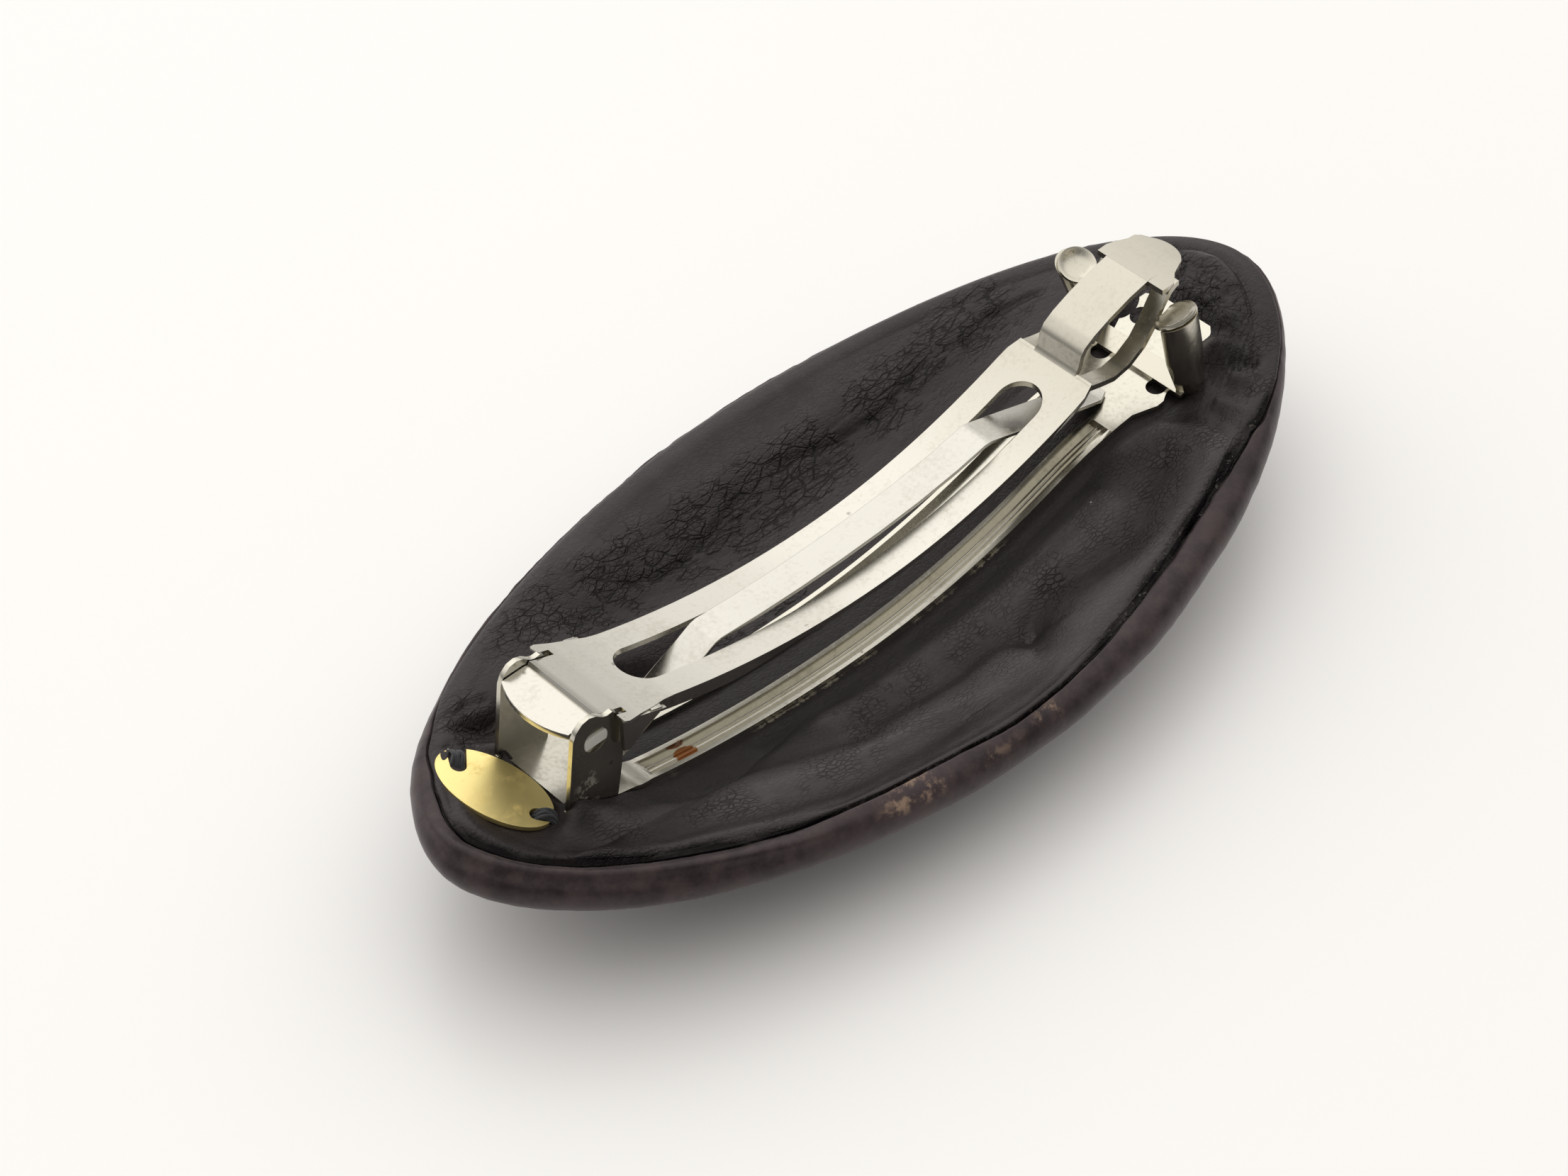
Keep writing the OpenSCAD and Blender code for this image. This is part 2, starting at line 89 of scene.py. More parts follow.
def uneven_round(angle: float, along: float, across: float, seed: float) -> float:
    """Unevenness that closes on itself round the oval."""
    return uneven(math.cos(angle) * along, math.sin(angle) * across, seed)


def rotated(x: float, y: float, degrees: float) -> tuple[float, float]:
    """Turns a plan point about the middle."""
    angle = math.radians(degrees)
    return x * math.cos(angle) - y * math.sin(angle), x * math.sin(angle) + y * math.cos(angle)


def ridge(x: float, y: float, seed: float) -> float:
    """Thin crooked lines, 1 on a line and 0 between them."""
    return max(0.0, 1 - abs(uneven(x, y, seed)) * 5.5) ** 1.5


# Shader writing


class Socket:
    """A shader value that takes part in plain arithmetic."""

    def __init__(self, shader: "Shader", link: bpy.types.NodeSocket) -> None:
        """Keeps the node output and the shader that it belongs to."""
        self.shader = shader
        self.link = link

    def _maths(self, operation: str, *values: Operand) -> "Socket":
        """Adds one Math node over the given values."""
        return self.shader.node("ShaderNodeMath", {"operation": operation}, dict(enumerate(values)))

    def __add__(self, other: Operand) -> "Socket":
        """Adds."""
        return self._maths("ADD", self, other)

    def __sub__(self, other: Operand) -> "Socket":
        """Takes away."""
        return self._maths("SUBTRACT", self, other)

    def __rsub__(self, other: Operand) -> "Socket":
        """Takes away from a plain number."""
        return self._maths("SUBTRACT", other, self)

    def __mul__(self, other: Operand) -> "Socket":
        """Multiplies."""
        return self._maths("MULTIPLY", self, other)

    # A sum and a product are the same either way round
    __radd__ = __add__
    __rmul__ = __mul__

    def size(self) -> "Socket":
        """Drops the sign."""
        return self._maths("ABSOLUTE", self)

    def most(self, other: Operand) -> "Socket":
        """Takes the larger of two values."""
        return self._maths("MAXIMUM", self, other)

    def least(self, other: Operand) -> "Socket":
        """Takes the smaller of two values."""
        return self._maths("MINIMUM", self, other)

    def between(self, low: float, high: float) -> "Socket":
        """Eases from 0 at low to 1 at high."""
        values = {"Value": self, "From Min": low, "From Max": high}
        return self.shader.node("ShaderNodeMapRange", {"interpolation_type": "SMOOTHSTEP"}, values)

    def near(self, centre: float, reach: float) -> "Socket":
        """Is 1 at the centre and fades to 0 at reach away from it."""
        return 1 - (self - centre).size().between(0, reach)


class Shader:
    """One material's node tree, written as Python expressions."""

    def __init__(self, name: str) -> None:
        """Starts a material with its Principled shader.

        Args:
            name: the material's name.
        """
        self.material = bpy.data.materials.new(name)
        self.material.use_nodes = True
        self.tree = self.material.node_tree
        self.surface = self.tree.nodes["Principled BSDF"]

    def node(self, kind: str, settings: Optional[dict[str, object]] = None,
             values: Optional[dict[Union[str, int], object]] = None, output: Union[str, int] = 0) -> Socket:
        """Adds any node.

        Args:
            kind: the node's type name.
            settings: the node's own properties, set first.
            values: numbers, colours or links for its input sockets, by name or place.
            output: which output is returned.

        Returns:
            The chosen output.
        """
        made = self.tree.nodes.new(kind)
        for key, setting in (settings or {}).items():
            setattr(made, key, setting)
        for key, value in (values or {}).items():
            self._feed(made.inputs[key], value)
        return Socket(self, made.outputs[output])

    def _feed(self, socket: bpy.types.NodeSocket, value: object) -> None:
        """Links or sets one input.

        Args:
            socket: the input.
            value: a Socket to link, or a plain number, colour or vector.
        """
        if isinstance(value, Socket):
            self.tree.links.new(value.link, socket)
        elif isinstance(value, tuple) and len(value) == 3 and socket.type == "RGBA":
            socket.default_value = (*value, 1.0)
        else:
            socket.default_value = value

    def set(self, **sockets: object) -> None:
        """Feeds the last shader's own sockets."""
        for key, value in sockets.items():
            self._feed(self.surface.inputs[key.replace("_", " ")], value)

    @cached_property
    def place(self) -> Socket:
        """Object coordinates, in metres."""
        return self.node("ShaderNodeTexCoord", output="Object")

    def parts(self) -> list[Socket]:
        """Object coordinates as three numbers, in millimetres."""
        split = self.node("ShaderNodeSeparateXYZ", None, {0: self.place})
        return [Socket(self, end) * (1 / MM) for end in split.link.node.outputs]

    def mapped(self, scale: Place, turn: float = 0.0, vector: Optional[Socket] = None) -> Socket:
        """Turns coordinates about Z, then stretches them.

        Args:
            scale: scale along each axis.
            turn: turn about Z in degrees.
            vector: the coordinates, or None for Object coordinates.

        Returns:
            The mapped vector.
        """
        given = {"Vector": vector or self.place, "Rotation": (0, 0, math.radians(turn))}
        turned = self.node("ShaderNodeMapping", None, given)
        return self.node("ShaderNodeMapping", None, {"Vector": turned, "Scale": scale})

    def warped(self, scale: float, reach_mm: float) -> Socket:
        """Object coordinates pushed about, so that a pattern's lines wander.

        Args:
            scale: how fine the push is, per metre.
            reach_mm: how far a point is pushed at most.

        Returns:
            The pushed coordinates.
        """
        values = {"Vector": self.place, "Scale": scale, "Detail": 2.0}
        push = self.node("ShaderNodeTexNoise", None, values, "Color")
        maths = "ShaderNodeVectorMath"
        centred = self.node(maths, {"operation": "SUBTRACT"}, {0: push, 1: (0.5, 0.5, 0.5)})
        sized = self.node(maths, {"operation": "SCALE"}, {0: centred, "Scale": 2 * reach_mm * MM})
        return self.node(maths, {"operation": "ADD"}, {0: self.place, 1: sized})

    def marked(self, name: str) -> Socket:
        """A number that the piece's own mesh carries."""
        return self.node("ShaderNodeAttribute", {"attribute_name": name}, None, "Fac")

    def noise(self, scale: float, detail: float = 3.0, rough: float = 0.5,
              vector: Optional[Socket] = None) -> Socket:
        """Noise from 0 to 1.

        Args:
            scale: how fine it is, per metre.
            detail: how many finer layers it has.
            rough: how strong the finer layers are.
            vector: the coordinates, or None for Object coordinates.

        Returns:
            The noise.
        """
        values = {"Vector": vector or self.place, "Scale": scale, "Detail": detail, "Roughness": rough}
        return self.node("ShaderNodeTexNoise", None, values)

    def cells(self, scale: float, vector: Optional[Socket] = None, feature: str = "F1") -> Socket:
        """Distance in a cell pattern, its scale given per metre."""
        values = {"Vector": vector or self.place, "Scale": scale}
        return self.node("ShaderNodeTexVoronoi", {"feature": feature}, values)

    def layered(self, ground: Colour, *layers: tuple[Operand, Colour]) -> Union[Socket, Colour]:
        """Lays colours over a ground colour, one after another.

        Args:
            ground: the colour underneath.
            layers: how much of each layer shows, from 0 to 1, and its colour.

        Returns:
            The colour of them all.
        """
        colour: Union[Socket, Colour] = ground
        for share, tint in layers:
            values = {0: share, 6: colour, 7: tint}
            colour = self.node("ShaderNodeMix", {"data_type": "RGBA", "clamp_factor": True}, values, 2)
        return colour

    def bumped(self, *layers: tuple[Socket, float, float]) -> Optional[Socket]:
        """Lays bumps over each other.

        Args:
            layers: a height pattern from 0 to 1 for each, its real depth in millimetres and its strength.

        Returns:
            The bumped normal.
        """
        normal: Optional[Socket] = None
        for height, depth_mm, strength in layers:
            values = {"Height": height, "Distance": depth_mm * MM, "Strength": strength}
            if normal is not None:
                values["Normal"] = normal
            normal = self.node("ShaderNodeBump", None, values)
        return normal

    def finish(self, **sockets: object) -> bpy.types.Material:
        """Feeds the Principled shader's sockets and returns the material."""
        self.set(**sockets)
        return self.material


class SkyShader(Shader):
    """The world's node tree, written in the same way."""

    def __init__(self, name: str) -> None:
        """Starts a world with its Background shader.

        Args:
            name: the world's name.
        """
        self.world = bpy.data.worlds.new(name)
        self.world.use_nodes = True
        self.tree = self.world.node_tree
        self.surface = self.tree.nodes["Background"]

    def toward(self, heading: Place) -> Socket:
        """How well a direction agrees with a heading, from -1 to 1."""
        values = {0: self.node("ShaderNodeTexCoord", output="Generated"), 1: heading}
        return self.node("ShaderNodeVectorMath", {"operation": "DOT_PRODUCT"}, values, "Value")


# Finishes


@dataclass(frozen=True)
class FaceLeatherFinish:
    """Soft brown black leather with a dull sheen, scuffed to tan where it was handled.

    Each row of handled is a scuffed spot: centre and reach along the clip in millimetres, the same
    across it, and how strongly it is scuffed.
    """

    deep: Colour = (0.0130, 0.0085, 0.0098)
    plum: Colour = (0.0370, 0.0262, 0.0285)
    scuff: Colour = (0.26, 0.18, 0.125)
    # torn is near black: torn leather at the seam, and painted shade in the seam's groove
    torn: Colour = (0.004, 0.003, 0.003)
    handled: tuple[tuple[float, ...], ...] = (
        (-18.5, 6.0, -23.6, 3.0, 1.0), (-2.7, 3.2, -25.0, 2.4, 0.9), (-9.0, 6.0, -24.9, 1.8, 0.5),
    )

    def _rubbed(self, x: Socket, y: Socket) -> Socket:
        """Spots where the leather was handled.

        Args:
            x, y: place along and across the clip in millimetres.

        Returns:
            How strongly a place is scuffed, from 0 to 1.
        """
        spots = [x.near(*row[:2]) * y.near(*row[2:4]) * row[4] for row in self.handled]
        return spots[0].most(spots[1]).most(spots[2])

    def material(self) -> bpy.types.Material:
        """Builds the material.

        Returns:
            The leather of the face.
        """
        s = Shader("face_leather")
        x, y, z = s.parts()
        broad = s.noise(70, 4, 0.6)
        mottled = s.noise(420, 5, 0.65)
        fine = s.noise(2600, 4, 0.7)
        high = z.between(10.7, 11.9)
        patches = (s.noise(620, 5, 0.7) + s.marked("edge") * 0.10).between(0.46, 0.62)
        specks = (mottled + fine * 0.5).between(0.62, 0.92)
        worn = self._rubbed(x, y).between(0.1, 0.7) * patches * high * 0.9 + specks * 0.05
        worn = worn.least(1.0)
        # The seam's dark band: torn leather near the catch and painted shade in its groove, metallic so
        # that it loses its sheen
        fray_and_groove_shade = s.marked("edge") * fine.between(0.35, 0.65) * 0.8
        plum = (broad * 0.6 + mottled * 0.55).between(0.42, 0.72)
        colour = s.layered(self.deep, (plum, self.plum), (worn, self.scuff), (fray_and_groove_shade, self.torn))
        normal = s.bumped((s.cells(1500) * 0.4 + fine * 0.6, 0.035, 0.6), (mottled, 0.10, 0.5))
        rough = 0.32 + mottled * 0.18 + worn * 0.3
        s.set(Specular_IOR_Level=0.32, Specular_Tint=(1.0, 0.86, 0.90, 1.0))
        s.set(Sheen_Weight=0.10, Sheen_Roughness=0.4, Sheen_Tint=(1.0, 0.85, 0.90, 1.0))
        return s.finish(Base_Color=colour, Metallic=fray_and_groove_shade, Roughness=rough, Normal=normal)


@dataclass(frozen=True)
class BackLeatherFinish:
    """Smooth charcoal leather with networks of fine cracks."""

    dark: Colour = (0.0085, 0.0064, 0.0068)
    worn: Colour = (0.0265, 0.0205, 0.0215)
    # The colour of the painted sheen laid on the near side by the hinge
    polished: Colour = (0.044, 0.037, 0.038)
    # The colour of the painted highlight on the crests of the folds
    crest: Colour = (0.052, 0.045, 0.046)
    # Near black: painted shade inside the cracks and the seam's groove, and torn leather at the seam
    crack: Colour = (0.0015, 0.0012, 0.0012)
    chip: Colour = (0.16, 0.15, 0.13)
    glue: Colour = (0.30, 0.27, 0.20)
    lint: Colour = (0.55, 0.53, 0.50)
    dust: Colour = (0.16, 0.155, 0.15)

    @staticmethod
    def _cracks(s: Shader, x: Socket, y: Socket) -> Socket:
        """Branching cracks, thick where the leather bends most.

        Args:
            s: the shader that they belong to.
            x, y: place along and across the clip in millimetres.

        Returns:
            A number that is 1 in a crack and 0 beside it.
        """
        adrift = s.warped(420, 0.38)
        wide = s.cells(880, s.mapped((0.45, 1.25, 1.0), -2, adrift), "DISTANCE_TO_EDGE")
        hair = s.cells(2100, s.mapped((0.60, 1.15, 1.0), 9, adrift), "DISTANCE_TO_EDGE")
        bend = y.near(15.3, 5.6) * x.near(2.0, 46.0).between(0, 0.3)
        bend = bend * s.noise(120, 3, 0.6).between(0.34, 0.52)
        hinge = x.near(-42.5, 6.0) * y.near(9.5, 5.0)
        catch = x.near(44.0, 9.0) * y.near(2.0, 13.0)
        slot = y.near(6.5, 3.0) * x.near(-8.0, 16.0) * s.noise(200).between(0.45, 0.6)
        strong = (bend * 1.5).most(hinge).most(catch).most(slot).least(1.0)
        weak = y.near(-12.0, 9.0) * s.noise(150).between(0.40, 0.60)
        lines = (1 - wide.between(0.0, 0.085)) * strong
        lines = lines + (1 - hair.between(0.0, 0.15)) * (strong * 0.40 + weak * 0.55 + 0.16)
        return (lines * s.noise(500, 3).between(0.28, 0.52)).least(1.0)

    def material(self) -> bpy.types.Material:
        """Builds the material.

        Returns:
            The leather of the back.
        """
        s = Shader("back_leather")
        x, y, _ = s.parts()
        broad = s.noise(60, 4, 0.6)
        mottled = s.noise(500, 5, 0.65)
        fine = s.noise(3000, 4, 0.7)
        mark, shade = s.marked("edge"), s.marked("shade")
        # Real cracks, painted near black below for the shade inside them
        cracked = self._cracks(s, x, y)
        # The seam's dark band: torn leather near the catch and painted shade in its groove
        edge = (mark * 1.5).least(1.0) * s.noise(1700, 4, 0.7).between(0.34, 0.48)
        edge = edge.most(mark.between(0.28, 0.62) * 0.95)
        worn = (broad * 0.50 + mottled * 0.60).between(0.40, 0.75)
        # Painted sheen by the hinge; beside the clip matt, and painted darker there for shade;
        # painted shade in the folds and painted highlight on their crests
        painted_sheen_patch = x.near(-27.0, 17.0) * y.near(-13.5, 7.0)
        # Beside the clip the colour is painted darker for the shade there; the extra roughness is the
        # leather's own
        inner = y.near(-6.0, 8.0)
        # Painted shade in the fold troughs and painted highlight on their crests, read from the height of
        # the creases
        trough = (0 - shade).between(0.04, 0.80)
        crest = shade.between(0.05, 0.65)
        chips = mark * s.noise(2300, 3, 0.6).between(0.60, 0.68) * x.between(-20.0, 10.0)
        # Old glue along the near rail, specks of lint and a little dust
        rail = (y + 4.62).size() + (s.noise(1500, 5, 0.75) - 0.5) * 1.3
        smeared = (1 - rail.between(0.0, 0.16)) * x.near(-8.0, 24.0).between(0, 0.1)
        smeared = smeared * s.noise(160).between(0.44, 0.54)
        dots = (1 - s.cells(150).between(0.010, 0.020)) * broad.between(0.42, 0.48)
        dust = (fine * mottled).between(0.40, 0.56)
        colour = s.layered(
            self.dark, (worn, self.worn), (painted_sheen_patch * 0.7, self.polished), (inner * 0.45, self.dark),
            (trough * 0.6, self.dark), (crest * 0.60, self.crest),
            ((cracked * 0.65).most(edge * 0.9), self.crack), (chips * 0.5, self.chip),
            (smeared * 0.7, self.glue), (dots, self.lint), (dust * 0.10, self.dust),
        )
        normal = s.bumped(
            (s.cells(1700) * 0.45 + fine * 0.5, 0.040, 0.7), (mottled, 0.07, 0.5),
            (1 - cracked, 0.11, 0.8), (1 - edge, 0.30, 1.0),
        )
        # A black metal mirrors nothing, so the painted shade in the cracks, the seam's groove and the fold
        # troughs loses its sheen, and so does the torn leather at the seam
        hollow = (cracked * 0.55).most(edge * 0.85).most(trough * 0.22)
        rough = 0.31 + mottled * 0.16 + inner * 0.14 + smeared * 0.2 + trough * 0.06 - crest * 0.03
        s.set(Specular_IOR_Level=0.36, Specular_Tint=(1.0, 0.92, 0.93, 1.0))
        return s.finish(Base_Color=colour, Metallic=hollow, Roughness=rough, Normal=normal)


@dataclass(frozen=True)
class NickelFinish:
    """Nickel plate on sheet steel, bright on its faces, with patches of tarnish.

    catch_darkening is how much darker its colour is towards the catch and lug_worn how worn its pivot lugs
    are, from 0 to 1.
    """

    name: str
    bright: Colour
    dull: Colour
    roughness: float = 0.20
    brush: float = 1.0
    rust: bool = False
    lug_worn: float = 0.0
    catch_darkening: float = 0.0
    speck: Colour = (0.12, 0.10, 0.08)
    lug_face: Colour = (0.80, 0.78, 0.72)
    stained: Colour = (0.36, 0.13, 0.03)
    smeared: Colour = (0.36, 0.34, 0.26)

    def material(self) -> bpy.types.Material:
        """Builds the material.

        Returns:
            The nickel of one piece.
        """
        s = Shader(self.name)
        x, y, z = s.parts()
        mottled = s.noise(330, 5, 0.7)
        fine = s.noise(2400, 4, 0.7)
        brushed = s.noise(900, 3, 0.6, s.mapped((0.12, 2.4, 1.0)))
        tarnish = (s.noise(150, 4, 0.7) * 0.6 + fine * 0.5).between(0.52, 0.80)
        specks = (1 - s.cells(420).between(0.05, 0.14)) * mottled.between(0.50, 0.58)
        lug = y.size().between(4.45, 4.6) * x.near(-38.5, 1.7).between(0, 0.2)
        lug = lug * z.near(20.0, 1.7).between(0, 0.2) * self.lug_worn
        # The colour is darker towards the catch; the tarnish and the specks are the nickel's own
        layers = [
            (x.between(4.0, 26.0) * self.catch_darkening, self.dull), (tarnish * 0.45, self.dull),
            (specks * 0.6, self.speck), (lug, self.lug_face),
        ]
        metal = 1 - lug
        rough = self.roughness + brushed * (0.05 * self.brush) + tarnish * 0.10
        # A rust stain on the trough's floor and old glue at the foot of the near ear
        if self.rust:
            stain = x.near(-26.7, 2.1) * y.near(-3.0, 1.7)
            stain = (stain + (mottled - 0.5) * 0.8).between(0.34, 0.44)
            smear = y.near(-4.9, 0.6) * x.near(-39.6, 2.0) * z.near(14.6, 3.0)
            smear = smear * s.noise(900, 5, 0.7).between(0.50, 0.60)
            layers += [(stain, self.stained), (smear * 0.6, self.smeared)]
            metal = 1 - stain.most(smear * 0.8)
            rough = rough + stain * 0.3 + smear * 0.3
        colour = s.layered(self.bright, *layers)
        scratches = brushed * (0.7 * self.brush) + fine * 0.3
        normal = s.bumped((scratches, 0.002, 0.5), (mottled, 0.010, 0.4))
        return s.finish(Base_Color=colour, Metallic=metal, Roughness=rough, Normal=normal)


@dataclass(frozen=True)
class GoldFinish:
    """Rolled gold plate with a soft sheen and faint dents."""

    bright: Colour = (0.95, 0.79, 0.34)
    deep: Colour = (0.72, 0.52, 0.16)

    def material(self) -> bpy.types.Material:
        """Builds the material.

        Returns:
            The gold of the small plate.
        """
        s = Shader("gold_plate")
        mottled = s.noise(520, 5, 0.65)
        fine = s.noise(3000, 4, 0.7)
        dull = (mottled * 0.7 + fine * 0.4).between(0.55, 0.8)
        colour = s.layered(self.bright, (dull * 0.5, self.deep))
        normal = s.bumped((mottled, 0.03, 0.5), (fine, 0.008, 0.6))
        rough = 0.42 + dull * 0.2
        return s.finish(Base_Color=colour, Metallic=1.0, Roughness=rough, Normal=normal)


@dataclass(frozen=True)
class ThreadFinish:
    """Twisted black sewing thread."""

    black: Colour = (0.004, 0.0045, 0.006)
    fibre: Colour = (0.022, 0.024, 0.031)

    def material(self) -> bpy.types.Material:
        """Builds the material.

        Returns:
            The black of the thread.
        """
        s = Shader("thread")
        fibres = s.noise(5200, 3, 0.6)
        colour = s.layered(self.black, (fibres, self.fibre))
        s.set(Sheen_Weight=0.3)
        return s.finish(Base_Color=colour, Roughness=0.75, Normal=s.bumped((fibres, 0.05, 0.8)))


# Shape helpers


@dataclass(frozen=True)
class Marked:
    """A point of the leather in millimetres, with what its material has to know.

    Besides the point it carries how dark the seam is, 1 where it is darkest: torn near the catch and
    painted shade in its deep groove; and relief, the height of the creases there, which the back leather
    paints as shade and highlight.
    """

    point: Vector
    fray_and_groove_shade: float = 0.0
    relief: float = 0.0


def linked(name: str, data: bpy.types.ID) -> bpy.types.Object:
    """Makes an object and links it to the scene.

    Args:
        name: the object's name.
        data: its mesh, lamp or camera.

    Returns:
        The new object.
    """
    made = bpy.data.objects.new(name, data)
    bpy.context.scene.collection.objects.link(made)
    return made


def sharp_edges(bm: bmesh.types.BMesh, degrees: float) -> list[bmesh.types.BMEdge]:
    """The edges where two faces meet at more than an angle."""
    limit = math.radians(degrees)
    return [e for e in bm.edges if len(e.link_faces) == 2 and e.calc_face_angle(0.0) > limit]


def new_object(name: str, bm: bmesh.types.BMesh, material: bpy.types.Material,
               smooth_angle: Optional[float] = None) -> bpy.types.Object:
    """Turns a bmesh in metres into a linked object.

    Args:
        name: the piece's name.
        bm: the finished bmesh, which is freed.
        material: the material of all its faces.
        smooth_angle: edges sharper than this many degrees stay sharp, or None for all smooth.

    Returns:
        The new object.
    """
    mesh = bpy.data.meshes.new(name)
    mesh.materials.append(material)
    for face in bm.faces:
        face.smooth = True
    if smooth_angle is not None:
        for edge in sharp_edges(bm, smooth_angle):
            edge.smooth = False
    bm.to_mesh(mesh)
    bm.free()
    return linked(name, mesh)


def bent_grid(around: int, stations: int, place: Callable[[float, int], Marked]) -> bmesh.types.BMesh:
    """Bends a flat grid into a closed shell of rings.

    Args:
        around: how many steps go round each ring.
        stations: how many rings there are.
        place: gives the marked point in millimetres for a turn from 0 to 1 and a ring number.

    Returns:
        The bmesh in metres, its seam and poles merged.
    """
    bm = bmesh.new()
    bmesh.ops.create_grid(bm, x_segments=around, y_segments=stations - 1, size=0.5)
    edge = bm.verts.layers.float.new("edge")
    shade = bm.verts.layers.float.new("shade")
    for vert in bm.verts:
        turn = (vert.co.x + 0.5) % 1.0 if vert.co.x < 0.4999 else 0.0
        ring = round((vert.co.y + 0.5) * (stations - 1))
        spot = place(turn, ring)
        vert.co = spot.point * MM
        vert[edge] = spot.fray_and_groove_shade
        vert[shade] = spot.relief
    bmesh.ops.remove_doubles(bm, verts=bm.verts, dist=1e-7)
    bmesh.ops.recalc_face_normals(bm, faces=bm.faces)
    return bm


def tube(bm: bmesh.types.BMesh, path: list[Vector], radius: float, sides: int = 8) -> None:
    """Bridges circles along a path in millimetres into a closed tube.

    Args:
        bm: the bmesh that the tube is added to.
        path: the points of its middle line.
        radius: its radius in millimetres, drawn in at both ends.
        sides: how many sides it has.
    """
    last = len(path) - 1
    rings = []
    for index, point in enumerate(path):
        ahead = path[min(index + 1, last)] - path[max(index - 1, 0)]
        turn = ahead.to_track_quat("Z", "Y").to_matrix().to_4x4()
        size = radius * (0.5 if index in (0, last) else 1.0)
        seat = Matrix.Translation(point * MM) @ turn
        made = bmesh.ops.create_circle(bm, cap_ends=False, segments=sides, radius=size * MM, matrix=seat)
        rings.append(list({edge for vert in made["verts"] for edge in vert.link_edges}))
    bmesh.ops.contextual_create(bm, geom=rings[0])
    bmesh.ops.contextual_create(bm, geom=rings[-1])
    for first, second in zip(rings, rings[1:]):
        bmesh.ops.bridge_loops(bm, edges=first + second)


# The seam's line: direction round the oval and degrees up from the edge's outer side
SEAM_LINE = (
    (0, 42), (138, 42), (152, 62), (160, 84), (167, 93), (178, 102), (190, 107), (200, 107), (208, 103),
    (218, 98), (227, 90), (234, 86), (243, 87), (249, 92), (261, 83), (270, 88), (277, 92), (283, 99),
    (290, 106), (297, 108), (303, 103), (308, 92), (314, 78), (318, 60), (326, 46), (338, 42), (360, 42),
)


@dataclass(frozen=True)
class OvalForm:
    """The oval's rim line, its rolled edge and the dish under the clip, in millimetres.

    The rim is a squarish ellipse, turned a little under the clip, and bead is the radius of the edge
    rolled round it. seam_angle and shoulder_angle are degrees up from the edge's outer side. The strip
    of the clip is lowest at low_x, and the leather's seat for the small plate begins at seat_x.
    """

    half_len: float = 51.8
    half_wid: float = 23.2
    power: float = 1.81
    turn: float = 2.8
    bead: float = 2.3
    seam_angle: float = 68.0
    shoulder_angle: float = 116.0
    rim_z: float = 9.7
    bow_hinge: float = 0.0014
    bow_catch: float = 0.0017
    level_half: float = 6.0
    dish: float = 1.4
    low_x: float = -5.0
    low_z: float = 6.3
    hinge_rise: float = 0.6
    bed_depth: float = 0.56
    seat_x: float = -42.6
    seat_z: float = 12.95
    seat_tilt: float = 14.0
    seat_roll: float = 4.5

    def base_top(self, x: float) -> float:
        """Height of the base strip's upper face.

        Args:
            x: place along the clip in millimetres.

        Returns:
            The height in millimetres.
        """
        away, bend, straight, tail = x - self.low_x, 20.0, 30.0, 35.0
        slope, flat = 25 / 70, 0.09
        if away < 0:
            return self.low_z + away ** 2 / 220 + self.hinge_rise * smooth((-31.5 - x) / 3)
        if x < bend:
            return self.low_z + away ** 2 / 140
        middle = self.low_z + (bend - self.low_x) ** 2 / 140
        if x < straight:
            return middle + slope * (x - bend) - (slope - flat) * (x - bend) ** 2 / (2 * (straight - bend))
        raised = middle + (straight - bend) / 2 * (slope + flat) + flat * (x - straight)
        return raised + 0.02 * max(0.0, x - tail) ** 2

    def rim(self, angle: float) -> tuple[Vector, Vector]:
        """The rim line, before the oval's turn.

        Args:
            angle: direction round the oval in radians.

        Returns:
            Its point and its outward direction there.
        """
        sizes = (self.half_len, self.half_wid)
        turns = (math.cos(angle), math.sin(angle))
        point = Vector([size * signed_power(turn, 2 / self.power) for size, turn in zip(sizes, turns)])
        outward = Vector([signed_power(at / size, self.power - 1) / size for size, at in zip(sizes, point)])
        return point, outward.normalized()

    def rim_height(self, point: Vector) -> float:
        """Height of the rolled edge's middle."""
        bow = self.bow_hinge if point.x < 0 else self.bow_catch
        return self.rim_z + bow * point.x ** 2

    def turned(self, point: Vector, height: float) -> Vector:
        """Turns a plan point under the clip and gives it its height."""
        return Vector((*rotated(point.x, point.y, self.turn), height))

    def _on_edge(self, angle: float, lift: float, radius: float) -> Vector:
        """A point on the rolled edge, before the oval's turn.

        Args:
            angle: direction round the oval in radians.
            lift: degrees up from the edge's outer side.
            radius: distance from the edge's middle in millimetres.

        Returns:
            The point in millimetres.
        """
        point, outward = self.rim(angle)
        tilt = math.radians(lift)
        plan = point + outward * radius * math.cos(tilt)
        return Vector((plan.x, plan.y, self.rim_height(point) + radius * math.sin(tilt)))

    def on_bead(self, angle: float, lift: float, radius: float) -> Vector:
        """A point on the rolled edge in its real place, with the same arguments."""
        edge = self._on_edge(angle, lift, radius)
        return self.turned(edge, edge.z)

    def shoulder(self, angle: float) -> Vector:
        """The rolled edge's inner shoulder, before the oval's turn."""
        return self._on_edge(angle, self.shoulder_angle, self.bead)

    def level(self, x: float, y: float) -> float:
        """Height of the level leather that the clip is bedded in.

        Args:
            x, y: place along and across the clip in millimetres.

        Returns:
            The height in millimetres.
        """
        share = smooth((self.seat_x - x) / (1.4 + max(0.0, abs(y) - 5.0)))
        roll = max(-6.5, min(6.5, y)) * math.tan(math.radians(self.seat_roll))
        seat = self.seat_z + (self.seat_x - x) * math.tan(math.radians(self.seat_tilt)) + roll
        return (1 - share) * (self.base_top(x) - self.bed_depth) + share * seat

    @cached_property
    def shoulder_table(self) -> tuple[list[float], list[Vector]]:
        """Directions and points of the shoulder, for looking up by direction."""
        points = [self.shoulder(math.tau * i / 1440) for i in range(1441)]
        headings = [math.atan2(p.y, p.x) % math.tau for p in points[:-1]] + [math.tau]
        return headings, points

